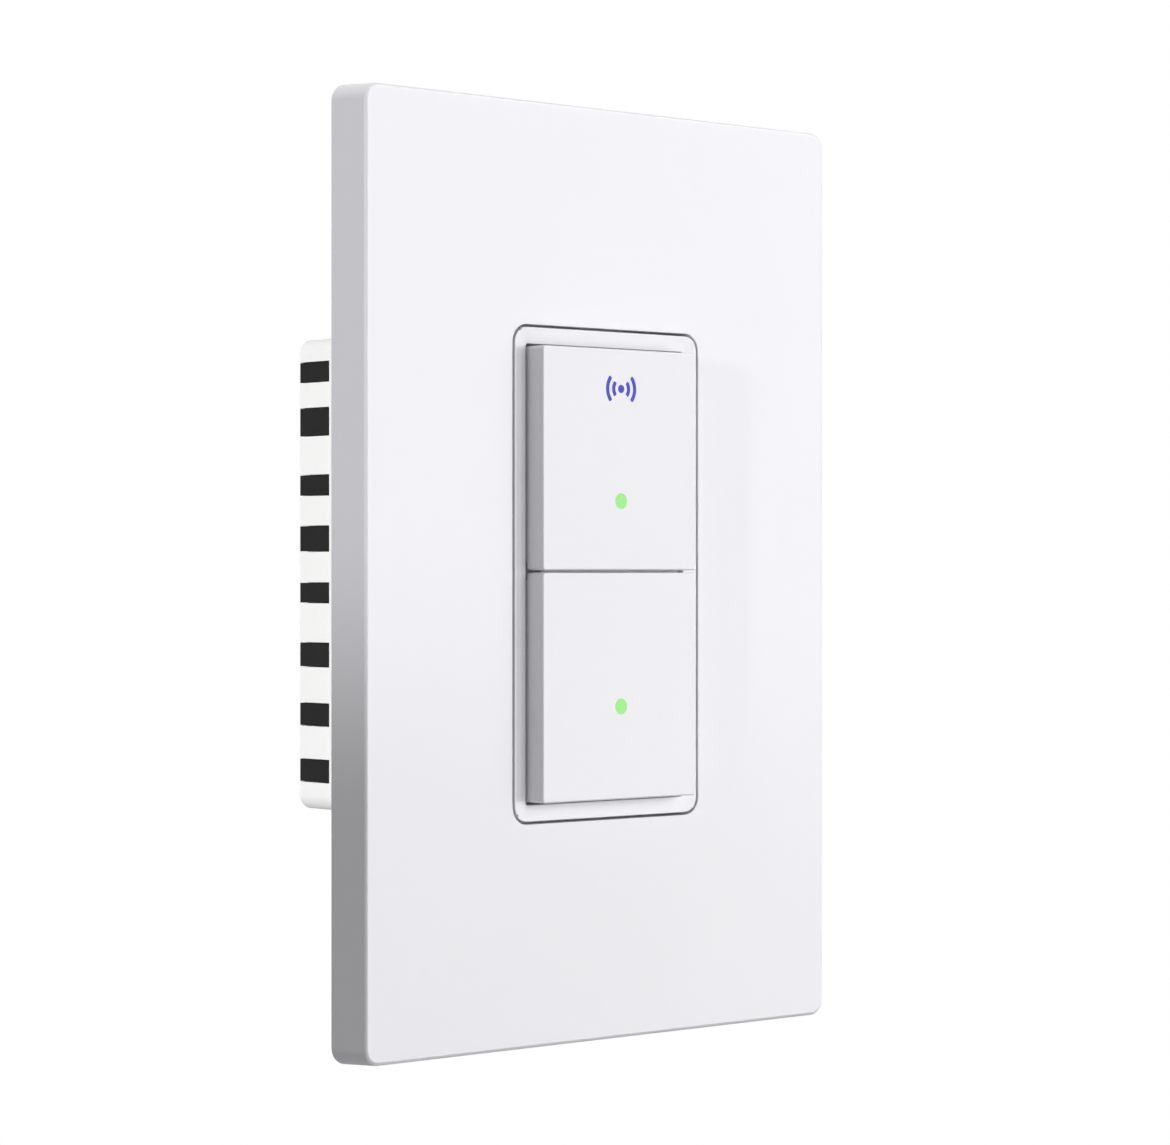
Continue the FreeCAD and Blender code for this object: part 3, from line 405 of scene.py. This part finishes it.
# %% [markdown]
# Most pieces of a moulded switch are rounded rectangles that change along the depth. One rounded loop
# is laid down, and for each further step it is extruded, and its four corners are scaled and moved to
# the next size. That keeps every corner point opposite its neighbour, which bridging two loops of
# different proportions would not. Work is done in millimetres, and the finished mesh is scaled once.


# %% Loops
def turn_about(bm, axis, degrees, verts=None):
    """Turn these points, or all, about an axis through the origin."""
    bmesh.ops.rotate(bm, cent=(0, 0, 0), matrix=Matrix.Rotation(math.radians(degrees), 3, axis),
                     verts=verts or bm.verts)


def first_loop(bm, w, h, r, y, x, z, steps):
    """Edges of a rounded rectangle in the plane at depth y."""
    verts = bmesh.ops.create_grid(bm, x_segments=1, y_segments=1, size=0.5)["verts"]
    bmesh.ops.scale(bm, vec=(w, h, 1), verts=verts)
    turn_about(bm, "X", 90, verts)
    bmesh.ops.translate(bm, vec=(x, y, z), verts=verts)
    bmesh.ops.bevel(bm, geom=verts, offset=r, offset_type="OFFSET", segments=steps, profile=0.5,
                    affect="VERTICES", material=-1)
    bmesh.ops.delete(bm, geom=list(bm.faces), context="FACES_ONLY")
    return list(bm.edges)


def extruded(bm, edges):
    """New edges and points of a loop that is extruded on the spot."""
    made = bmesh.ops.extrude_edge_only(bm, edges=edges)["geom"]
    return ([g for g in made if isinstance(g, bmesh.types.BMEdge)],
            [g for g in made if isinstance(g, bmesh.types.BMVert)])


print("loops ready")

# %% [markdown]
# A row of such loops makes the skin of a moulding, and its ends are either capped or joined to each
# other. A row of circles makes the round pieces in the same way.


# %% Skins over a row of loops
def close_ends(bm, first, last, closed):
    """Join the last loop to the first, or cap both, and point the faces outwards."""
    if closed:
        bmesh.ops.remove_doubles(bm, verts=bm.verts, dist=1e-4)
    else:
        for end in (first, last):
            bmesh.ops.contextual_create(bm, geom=end)
    bmesh.ops.recalc_face_normals(bm, faces=bm.faces)


def swept(stations, x=0.0, z=0.0, steps=6, closed=False):
    """Skin over a row of rounded rectangles, each given as width, height, corner radius and depth."""
    bm = bmesh.new()
    first = edges = first_loop(bm, *stations[0], x, z, steps)
    row = stations[1:] + (stations[:1] if closed else [])
    for (w0, h0, r0, y0), (w, h, r, y) in zip(stations, row):
        edges, verts = extruded(bm, edges)
        for sx in (-1, 1):
            for sz in (-1, 1):
                corner = [v for v in verts if (v.co.x - x) * sx > 0 and (v.co.z - z) * sz > 0]
                old = Vector((x + sx * (w0 / 2 - r0), y0, z + sz * (h0 / 2 - r0)))
                new = Vector((x + sx * (w / 2 - r), y, z + sz * (h / 2 - r)))
                bmesh.ops.scale(bm, vec=(r / r0, 1, r / r0), space=Matrix.Translation(-old),
                                verts=corner)
                bmesh.ops.translate(bm, vec=new - old, verts=corner)
    close_ends(bm, first, edges, closed)
    return bm


def turned(stations, x=0.0, z=0.0, steps=32):
    """Skin over a row of circles, each given as radius and depth."""
    bm = bmesh.new()
    r0, y0 = stations[0]
    verts = bmesh.ops.create_circle(bm, cap_ends=False, segments=steps, radius=r0)["verts"]
    turn_about(bm, "X", 90, verts)
    bmesh.ops.translate(bm, vec=(x, y0, z), verts=verts)
    first = edges = list(bm.edges)
    for (r0, y0), (r, y) in zip(stations, stations[1:]):
        edges, verts = extruded(bm, edges)
        bmesh.ops.scale(bm, vec=(r / r0, 1, r / r0), space=Matrix.Translation((-x, -y0, -z)),
                        verts=verts)
        bmesh.ops.translate(bm, vec=(0, y - y0, 0), verts=verts)
    close_ends(bm, first, edges, False)
    return bm


print("skins ready")

# %% [markdown]
# Every real edge is a little round. The edges of one level are picked by their depth, and a bevel
# rounds them. Boxes, rods and pegs are the small shapes that the larger pieces are put together from.


# %% Rounded edges, boxes, rods and pegs
def soften(bm, edges, r, segments=3):
    bmesh.ops.bevel(bm, geom=edges, offset=r, offset_type="OFFSET", segments=segments, profile=0.5,
                    affect="EDGES", material=-1)


def edges_at(bm, y, test=lambda x, z: True):
    """Edges in the plane at depth y whose middle passes the test."""
    found = []
    for e in bm.edges:
        if all(abs(v.co.y - y) < 1e-4 for v in e.verts):
            middle = (e.verts[0].co + e.verts[1].co) / 2
            if test(abs(middle.x), abs(middle.z)):
                found.append(e)
    return found


def block(x0, x1, y0, y1, z0, z1, r=0.0):
    """Box between two corners, with its edges softened."""
    bm = bmesh.new()
    bmesh.ops.create_cube(bm, size=1)
    bmesh.ops.scale(bm, vec=(x1 - x0, y1 - y0, z1 - z0), verts=bm.verts)
    bmesh.ops.translate(bm, vec=((x0 + x1) / 2, (y0 + y1) / 2, (z0 + z1) / 2), verts=bm.verts)
    if r:
        soften(bm, list(bm.edges), r, 2)
    return bm


def rod(r, y0, y1, x=0.0, z=0.0, steps=32):
    """Rod along Y."""
    return turned([(r, y0), (r, y1)], x, z, steps)


def peg(r, x0, x1, y, z, steps=24):
    """Rod along X."""
    bm = rod(r, x0, x1, steps=steps)
    turn_about(bm, "Z", -90)
    bmesh.ops.translate(bm, vec=(0, y, z), verts=bm.verts)
    return bm


def add(bm, *others):
    """Put other pieces into this mesh and free them."""
    for other in others:
        part = bpy.data.meshes.new("part")
        other.to_mesh(part)
        other.free()
        bm.from_mesh(part)
        bpy.data.meshes.remove(part)
    return bm


print("small shapes ready")

# %% [markdown]
# Holes and recesses are cut with the Boolean modifier, applied at once. The last helper puts the
# finished mesh in the scene: metres, smooth shading with sharp creases, its finish, the body it rides
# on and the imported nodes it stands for. Normals are weighted by face size, so that the large flat
# faces stay flat in the light and only their rounded edges shine.


# %% Cutting and placing
def placed_mesh(bm, name):
    mesh = bpy.data.meshes.new(name)
    bm.to_mesh(mesh)
    bm.free()
    made = bpy.data.objects.new(name, mesh)
    scene.collection.objects.link(made)
    return made


def carve(bm, *cutters):
    """The first mesh cut by the others."""
    base = placed_mesh(bm, "base")
    tools = [placed_mesh(cutter, "cutter") for cutter in cutters]
    for tool in tools:
        cut = base.modifiers.new("cut", "BOOLEAN")
        cut.operation = "DIFFERENCE"
        cut.solver = "EXACT"
        cut.object = tool
    bpy.context.view_layer.update()
    shown = base.evaluated_get(bpy.context.evaluated_depsgraph_get())
    ready = bpy.data.meshes.new_from_object(shown)
    result = bmesh.new()
    result.from_mesh(ready)
    bpy.data.meshes.remove(ready)
    for made in [base, *tools]:
        mesh = made.data
        bpy.data.objects.remove(made)
        bpy.data.meshes.remove(mesh)
    return result


def piece(bm, name, body, slot, *nodes, crease=35):
    """The finished piece in the scene."""
    bmesh.ops.scale(bm, vec=(mm, mm, mm), verts=bm.verts)
    made = placed_mesh(bm, name)
    made.data.materials.append(finishes[slot].material)
    made.data.shade_smooth()
    made.data.set_sharp_from_angle(angle=math.radians(crease))
    flat = made.modifiers.new("flat_faces", "WEIGHTED_NORMAL")
    flat.keep_sharp = True
    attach(made, body)
    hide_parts(*nodes)
    print(name, len(made.data.vertices), "points", [round(d / mm, 2) for d in made.dimensions])


print("placing ready")

# %% [markdown]
# The outer size of the plate, the width of the buttons and the levels of both fronts come from the
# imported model. The insert's box is printed too, but its toes reach past its face, so the size of the
# face is given further down.


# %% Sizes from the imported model
def size_of(node):
    """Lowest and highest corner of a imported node, in millimetres."""
    low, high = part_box(node)
    return Vector(low) / mm, Vector(high) / mm


plate_low, plate_high = size_of("cover_plate")
face_low, face_high = size_of("front_bezel")
upper_low, upper_high = size_of("upper_button")
print("plate", tuple(plate_high - plate_low), "insert", tuple(face_high - face_low))

# %% [markdown]
# The cover plate is one thin moulding: a flat front with a soft edge, sides that flare a little
# towards the wall, and a short collar round its opening. Nine loops run over that section like a
# string round a picture frame, from the rear edge over the front, down the collar and back along the
# inside. A revolve or an extrusion can't follow such a section, and a Boolean would leave worse edges.

# %% Cover plate
side_flare, end_flare = 0.1, 0.5
plate_w = plate_high.x - plate_low.x - 2 * side_flare
plate_h = plate_high.z - plate_low.z - 2 * end_flare
plate_r, plate_edge_r, fine_edge_r = 2.2, 0.5, 0.15
front = plate_low.y
plate_wall = 1.8
skin_back = front + 1.6
edge_zone = 3.5
open_w, open_h, open_r, open_edge_r = 33.7, 67.0, 2.45, 0.1
collar, collar_back = 1.4, front + 3.1
bm = swept([
    (plate_w + 2 * side_flare, plate_h + 2 * end_flare, plate_r + side_flare, 0),
    (plate_w, plate_h, plate_r, front),
    (open_w + 1.2, open_h + 1.2, open_r + 0.6, front),
    (open_w, open_h, open_r, front),
    (open_w, open_h, open_r, collar_back),
    (open_w + 2 * collar, open_h + 2 * collar, open_r + collar, collar_back),
    (open_w + 2 * collar, open_h + 2 * collar, open_r + collar, skin_back),
    (plate_w - 2 * plate_wall, plate_h - 2 * plate_wall, plate_r, skin_back),
    (plate_w - 2 * plate_wall, plate_h - 2 * plate_wall, plate_r, 0),
], steps=8, closed=True)
outer_edges = edges_at(
    bm, front, lambda x, z: x > plate_w / 2 - edge_zone or z > plate_h / 2 - edge_zone)
soften(bm, outer_edges, plate_edge_r, 6)
opening_edges = edges_at(bm, front, lambda x, z: x < open_w / 2 + 0.1 and z < open_h / 2 + 0.1)
soften(bm, opening_edges, open_edge_r)
soften(bm, edges_at(bm, 0), fine_edge_r, 2)
soften(bm, edges_at(bm, collar_back), fine_edge_r, 2)
print("plate section done:", len(bm.faces), "faces")

# %% [markdown]
# Inside the plate are eight wedge hooks, which snap behind the frame, and four square pads that rest
# on it. A wedge is a box whose one edge is pulled to the wall.

# %% Hooks and pads of the cover plate
frame_front = front + 3.3
hook_y, hook_h, hook_reach, hook_w = frame_front + 1.9, 1.3, 1.0, 8.0
hook_x = plate_w / 2 - 17.5
hook_z = plate_h / 2 - 25.5
pad_half = 3
corners = [(sx, sz) for sx in (-1, 1) for sz in (-1, 1)]


def hook(wall, along, turn):
    """Wedge at a wall, turned about the middle of the plate."""
    made = block(wall - hook_reach, wall + 0.3, hook_y, hook_y + hook_h,
                 along - hook_w / 2, along + hook_w / 2)
    rear_edge = [v for v in made.verts if v.co.y > hook_y + 0.1 and v.co.x < wall]
    bmesh.ops.translate(made, vec=(hook_reach * 0.95, 0, 0), verts=rear_edge)
    soften(made, [e for e in made.edges if all(v.co.x < wall for v in e.verts)], 0.12, 2)
    turn_about(made, "Y", turn)
    return made


half_w = plate_w / 2 - plate_wall
half_h = plate_h / 2 - plate_wall
add(bm, *[hook(half_w, z, turn) for turn in (0, 180) for z in (-hook_z, hook_z)])
add(bm, *[hook(half_h, x, turn) for turn in (90, 270) for x in (-hook_x, hook_x)])
for sx, sz in corners:
    x, z = sx * hook_x, sz * hook_z
    add(bm, block(x - pad_half, x + pad_half, skin_back - 0.2, frame_front,
                  z - pad_half, z + pad_half, 0.3))
piece(bm, "cover_plate_shell", "housing", "face_plastic", "cover_plate", crease=32)

# %% [markdown]
# The insert is a narrow frame round the buttons. Its front has a thin flat land and then slopes down
# to the buttons, which makes the pale double line round them. It is swept like the plate.

# %% Insert frame
face_w, face_h, face_r = 33.0, 66.3, 2.1
window_w, window_h, window_r = face_w - 4.4, face_h - 4.4, 0.4
land, slope = 0.35, 0.33
rear = -1.2
bm = swept([
    (face_w, face_h, face_r, rear),
    (face_w, face_h, face_r, front),
    (face_w - 2 * land, face_h - 2 * land, face_r - land, front),
    (window_w, window_h, window_r, front + slope),
    (window_w, window_h, window_r, rear),
], closed=True)
rim = land * 0.9
soften(bm, edges_at(bm, front, lambda x, z: x > face_w / 2 - rim or z > face_h / 2 - rim), 0.1)
soften(bm, edges_at(bm, front + slope), 0.12, 2)
print("insert skin:", len(bm.faces), "faces")

# %% [markdown]
# The buttons turn on small pegs, so the insert has four blind sockets in its side walls, a little
# wider than the pegs.

# %% Peg sockets
peg_y, peg_z, peg_r = front + 1.9, 28.4, 0.9
peg_room, socket_in, socket_out = 0.07, 13.95, 15.62
sockets = [peg(peg_r + peg_room, s * socket_in, s * socket_out, peg_y, z)
           for s in (-1, 1) for z in (-peg_z, peg_z)]
for socket in sockets:
    bmesh.ops.recalc_face_normals(socket, faces=socket.faces)
bm = carve(bm, *sockets)
print("insert frame:", len(bm.faces), "faces")

# %% [markdown]
# A bar crosses the frame behind the split between the buttons, and four springy legs reach back
# through the yoke and hook behind the housing's front wall.

# %% Bar and legs of the insert frame
split_z, bar_half, stop_half = 0.4, 0.8, 12.4
bar_low, bar_high = split_z - bar_half, split_z + bar_half
add(bm, block(-window_w / 2 - 0.3, window_w / 2 + 0.3, front + 1.4, rear - 0.05, bar_low, bar_high))
add(bm, block(-stop_half, stop_half, front - 0.6, front + 1.5, bar_low, bar_high, 0.12))
leg_z, leg_half, leg_end, toe_reach, toe_start = 20, 2.5, 3.0, 1.5, 1.6
for sx in (-1, 1):
    for z in (-leg_z, leg_z):
        x = sx * (face_w / 2 - 1.1)
        leg = block(x - 0.6, x + 0.6, rear - 0.3, leg_end, z - leg_half, z + leg_half)
        toe = block(*sorted((x, x + sx * toe_reach)), toe_start, leg_end, z - leg_half, z + leg_half)
        tip = [v for v in toe.verts if abs(v.co.x) > abs(x) + 1 and v.co.y > leg_end - 0.1]
        bmesh.ops.translate(toe, vec=(-sx * 0.85, 0, 0), verts=tip)
        add(bm, leg, toe)
piece(bm, "insert_frame", "housing", "face_plastic", "front_bezel", crease=32)

# %% [markdown]
# The upper button carries a plain sign: a dot between two pairs of side arcs. An arc is a small
# rectangle that is spun about the sign's middle, and its ends are rounded. The shapes are used twice,
# a little larger to cut their seats in the button, and in their true size as the lit inlay.

# %% Symbol shape
symbol_z, symbol_turn, arc_width, arc_radii, dot_r = 25.2, 42.0, 0.56, (1.35, 2.45), 0.55
face_y = upper_low.y


def fill_ends(bm):
    open_edges = [e for e in bm.edges if e.is_boundary]
    if open_edges:
        bmesh.ops.holes_fill(bm, edges=open_edges)


def arc_bar(radius, width, middle, depth, grow=0.0):
    """Curved bar in the button's face, spun about the symbol's middle."""
    bm = bmesh.new()
    half = width / 2 + grow
    verts = bmesh.ops.create_grid(bm, x_segments=1, y_segments=1, size=0.5)["verts"]
    bmesh.ops.scale(bm, vec=(2 * half, depth, 1), verts=verts)
    bmesh.ops.translate(bm, vec=(radius, face_y + depth / 2, 0), verts=verts)
    turn_about(bm, "Y", symbol_turn, verts)
    bmesh.ops.spin(bm, geom=list(bm.verts) + list(bm.edges) + list(bm.faces), cent=(0, 0, 0),
                   axis=(0, -1, 0), angle=math.radians(2 * symbol_turn), steps=18)
    fill_ends(bm)
    bmesh.ops.remove_doubles(bm, verts=bm.verts, dist=1e-4)
    bmesh.ops.recalc_face_normals(bm, faces=bm.faces)
    upright = [e for e in bm.edges if len(e.link_faces) == 2 and e.calc_face_angle() > math.radians(60)
               and abs(e.verts[0].co.y - e.verts[1].co.y) > depth * 0.9]
    soften(bm, upright, half * 0.9, 4)
    turn_about(bm, "Y", middle)
    bmesh.ops.translate(bm, vec=(0, 0, symbol_z), verts=bm.verts)
    return bm


def symbol_shapes(depth, grow=0.0):
    shapes = [rod(dot_r + grow, face_y, face_y + depth, 0, symbol_z)]
    for middle in (0, 180):
        for radius in arc_radii:
            shapes.append(arc_bar(radius, arc_width, middle, depth, grow))
    return shapes


def symbol_cutters():
    """The symbol's shapes, reaching out of the face, to cut their own seats."""
    shapes = symbol_shapes(0.8, 0.02)
    for shape in shapes:
        top = [v for v in shape.verts if v.co.y < face_y + 0.1]
        bmesh.ops.translate(shape, vec=(0, -0.5, 0), verts=top)
    return shapes


print("symbol bars are", 2 * symbol_turn, "degrees long")

# %% [markdown]
# Each button is a shallow cap that turns on two pegs at its outer end. Its front edge is rounded, its
# inside is hollow with two ribs and a post that pushes the key, and two hooks at the split keep it
# behind the bar. The window and the symbol are real holes, so the lit pieces can sit in them. One
# function makes both caps, turned by the sign of s.

# %% Button caps
peg_reach = 1.6
button_w = upper_high.x - upper_low.x - 2 * peg_reach
button_back = face_y + 5.9
button_r, button_edge_r = 0.5, 0.25
button_end, split_half, window_hole_r = 30.6, 0.15, 1.08
cap_skin, cap_wall, run = 1.3, 1.2, 0.35
rib_x, catch_x, post_r, post_end = 2.5, 8.0, 1.6, -3.0
windows = {1: split_z + 9.55, -1: split_z - 18.35}
keys = {1: split_z + 5.6, -1: split_z - 5.6}


def button_cap(s):
    """Cap above the split for s = 1, below it for s = -1."""
    inner, outer = split_z + s * split_half, s * button_end
    height, middle = abs(outer - inner), (outer + inner) / 2
    bm = swept([(button_w, height, button_r, button_back), (button_w, height, button_r, face_y)],
               z=middle)
    soften(bm, edges_at(bm, face_y), button_edge_r, 4)
    soften(bm, edges_at(bm, button_back), 0.12, 2)
    wall_in = split_z + s * (bar_half + run + cap_wall)
    z0, z1 = sorted((wall_in, outer - s * cap_wall))
    half = button_w / 2 - cap_wall
    cavity = block(-half, half, face_y + cap_skin, 0, z0, z1)
    z2, z3 = sorted((split_z - s, split_z + s * (bar_half + run)))
    over_bar = block(-half, half, face_y + cap_skin, 0, z2, z3)
    sides_over_bar = block(-button_w, button_w, face_y + 3.3, 0, z2, z3)
    window_hole = rod(window_hole_r, face_y - 1, 0, 0, windows[s], 48)
    cutters = [cavity, over_bar, sides_over_bar, window_hole]
    if s > 0:
        cutters += symbol_cutters()
    bm = carve(bm, *cutters)
    for sx in (-1, 1):
        x0, x1 = sorted((sx * (button_w / 2 - cap_wall), sx * (button_w / 2 + peg_reach)))
        add(bm, peg(peg_r, x0, x1, peg_y, s * peg_z))
        rib = sx * rib_x
        add(bm, block(rib - 0.45, rib + 0.45, face_y + cap_skin - 0.1, face_y + cap_skin + 2,
                      z0 - 0.1, z1 + 0.1))
        add(bm, *catch(sx * catch_x, s))
    add(bm, rod(post_r, face_y + cap_skin - 0.1, post_end, 0, keys[s]))
    return bm


def catch(x, s):
    """Hook that keeps a button behind the bar."""
    root = split_z + s * (bar_half + run)
    z0, z1 = sorted((root, root + s * cap_wall))
    z2, z3 = sorted((root - s * 0.75, root + s * 0.2))
    return [block(x - 1.5, x + 1.5, face_y + cap_skin - 0.1, 0.25, z0, z1),
            block(x - 1.5, x + 1.5, -0.85, 0.25, z2, z3)]


piece(button_cap(1), "upper_button_cap", "upper_press", "face_plastic", "upper_button", crease=32)
piece(button_cap(-1), "lower_button_cap", "lower_press", "face_plastic", "lower_button", crease=32)

# %% [markdown]
# A light window is a short clear rod with a collar behind the button's skin. Its outer end is almost
# flat and lies level with the button's face. It is turned from a few rings. The symbol's lit pieces
# are the shapes that cut its seats, in their true size.


# %% Light windows and symbol
def window(z):
    outline = [(1.05, face_y + 4.6), (1.05, face_y + 2.1), (1.7, face_y + 2.1), (1.7, face_y + 1.3),
               (1.05, face_y + 1.3), (1.05, face_y + 0.05), (1.02, face_y), (0.6, face_y - 0.01)]
    return turned(outline, z=z, steps=40)


piece(window(windows[1]), "upper_window", "upper_press", "green_light", "upper_light_pipe")
piece(window(windows[-1]), "lower_window", "lower_press", "green_light", "lower_light_pipe")
inlay = bmesh.new()
add(inlay, *symbol_shapes(0.8))
piece(inlay, "symbol_inlay", "upper_press", "blue_light", "symbol_light")

# %% [markdown]
# All the screws are made in the same way: a head turned from rings, a cross pressed into it, a plain
# shank and a raised thread. The thread is one small triangle that spin carries round the shank while
# it moves along, so it is a true helix. Each screw is turned by its own angle, as tightened ones are.


# %% Screw maker
def thread(core, pitch, y0, y1):
    """Helical ridge round a shank that runs along Y."""
    bm = bmesh.new()
    verts = bmesh.ops.create_circle(bm, cap_ends=True, segments=3, radius=pitch * 0.42)["verts"]
    bmesh.ops.scale(bm, vec=(0.9, 1.05, 1), verts=verts)
    turn_about(bm, "Z", -90, verts)
    bmesh.ops.translate(bm, vec=(core + pitch * 0.06, y0 + pitch * 0.5, 0), verts=verts)
    turns = (y1 - y0 - pitch) / pitch
    each = 20
    count = max(int(turns * each), 1)
    bmesh.ops.spin(bm, geom=list(bm.verts) + list(bm.edges) + list(bm.faces), cent=(0, 0, 0),
                   axis=(0, 1, 0), dvec=(0, pitch / each, 0), angle=-math.tau * count / each,
                   steps=count)
    fill_ends(bm)
    bmesh.ops.recalc_face_normals(bm, faces=bm.faces)
    return bm


def screw(head_r, head_h, core, length, pitch, start):
    """Screw along +Y whose head's outer face lies at Y = 0 and whose thread starts at start."""
    crown = [(head_r * 0.55, 0.0), (head_r * 0.82, head_h * 0.06), (head_r * 0.95, head_h * 0.24),
             (head_r, head_h * 0.5), (head_r, head_h * 0.94), (head_r - 0.06 * head_h, head_h)]
    bm = turned(crown, steps=36)
    half, deep, wide = head_r * 0.6, 0.8, 0.9
    bm = carve(bm, block(-half, half, -1, deep, -wide / 2, wide / 2),
               block(-wide / 2, wide / 2, -1, deep, -half, half))
    end = head_h + length
    shank = turned([(core, head_h - 0.1), (core, end - 0.4), (core * 0.7, end)], steps=24)
    return add(bm, shank, thread(core, pitch, start, end))


def screws(name, slot, node, places, from_behind, maker):
    """Copies of one screw at (x, y, z, angle), put in from the front or from behind."""
    bm = bmesh.new()
    for x, y, z, angle in places:
        one = maker()
        turn_about(one, "Y", angle)
        if from_behind:
            turn_about(one, "Z", 180)
        bmesh.ops.translate(one, vec=(x, y, z), verts=one.verts)
        add(bm, one)
    piece(bm, name, "housing", slot, node, crease=40)


print("screw maker ready")

# %% [markdown]
# Two screws hold the switch in the wall box and two hold the frame behind the plate. Both pairs stand
# at the standard distances. Four small ones fix the yoke, and four long ones close the housing from
# behind, so these look the other way.

# %% Screws
box_screw_y, box_screw_z = -3.1, 41.65
screws("box_screw_pair", "screw_steel", "box_screws",
       [(0, box_screw_y, box_screw_z, 12), (0, box_screw_y, -box_screw_z, 74)], False,
       lambda: screw(head_r=3.3, head_h=1.9, core=1.42, length=24.9, pitch=0.8, start=3.6))
plate_screw_y, plate_screw_z = frame_front - 1.3, 48.4
screws("plate_screw_pair", "screw_steel", "sub_plate_screws",
       [(0, plate_screw_y, plate_screw_z, 38), (0, plate_screw_y, -plate_screw_z, 5)], False,
       lambda: screw(head_r=3.3, head_h=1.9, core=1.35, length=9.0, pitch=0.8, start=3.2))
yoke_screw_x, yoke_screw_y, yoke_screw_z = 19.2, -2.2, 31.3
screws("yoke_screw_set", "screw_steel", "yoke_screws",
       [(sx * yoke_screw_x, yoke_screw_y, sz * yoke_screw_z, 20 + 31 * sx + 17 * sz)
        for sx, sz in corners], False,
       lambda: screw(head_r=2.2, head_h=1.0, core=1.0, length=6.0, pitch=0.7, start=1.6))
post_x, post_z, rear_y = 17.0, 27.9, 33.5
screws("housing_screw_set", "screw_steel", "housing_screws",
       [(sx * post_x, rear_y, sz * post_z, 8 + 23 * sx + 41 * sz) for sx, sz in corners], True,
       lambda: screw(head_r=2.1, head_h=1.4, core=1.0, length=25.1, pitch=0.8, start=10.0))

# %% [markdown]
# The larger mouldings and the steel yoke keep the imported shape, but a real edge is never perfectly
# sharp. A merged copy of each gets its flat faces joined and then a fine bevel on every crease, so
# that the edges catch light.


# %% Softened copies
def softened(node, name, width):
    """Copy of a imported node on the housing, with fine rounded edges."""
    slot = slot_of[node]
    bm = bmesh.new()
    bm.from_mesh(frame["nodes"][node].data)
    bmesh.ops.remove_doubles(bm, verts=bm.verts, dist=0.000002)
    bmesh.ops.dissolve_limit(bm, angle_limit=math.radians(0.6), verts=bm.verts, edges=bm.edges)
    made = placed_mesh(bm, name)
    made.data.materials.clear()
    made.data.materials.append(finishes[slot].material)
    made.data.shade_smooth()
    bevel = made.modifiers.new("edges", "BEVEL")
    bevel.width = width * mm
    bevel.segments = 2
    bevel.limit_method = "ANGLE"
    bevel.angle_limit = math.radians(40)
    bevel.use_clamp_overlap = True
    made.modifiers.new("flat_faces", "WEIGHTED_NORMAL").weight = 90
    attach(made, "housing")
    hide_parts(node)
    print(name, len(made.data.polygons), "faces")


softened("sub_plate", "frame_moulding", 0.2)
softened("mounting_yoke", "steel_yoke", 0.15)
softened("front_shell", "housing_front", 0.15)
softened("rear_cover", "housing_rear", 0.12)
softened("terminal_block", "terminal_body", 0.12)

# %% [markdown]
# Last, four lamps are kept to the pieces that they are meant for. The one from the rear left lights
# only the housing, which the photograph shows much lighter than the side of the plate. The spot lights
# only the plate, because the narrow sides of the buttons are darker than its side. A second front lamp
# makes up for that on the buttons' faces, and the lamp from above leaves out the floor, whose light
# would come back from below.


# %% Lamps kept to their pieces
def keep_to(light, *names):
    """Let a lamp light only these pieces."""
    group = bpy.data.collections.new("lit_by_" + light.name)
    scene.collection.children.link(group)
    for name in names:
        group.objects.link(bpy.data.objects[name])
    light.light_linking.receiver_collection = group


keep_to(top_lamp, *[o.name for o in scene.objects if o.type == "MESH" and o is not floor])
keep_to(housing_lamp, "housing_front", "housing_rear", "slot_liner", "steel_yoke", "terminal_body")
keep_to(side_lamp, "cover_plate_shell")
keep_to(button_lamp, "insert_frame", "upper_button_cap", "lower_button_cap")
print("kept lamps:", [o.name for o in (top_lamp, housing_lamp, side_lamp, button_lamp)])
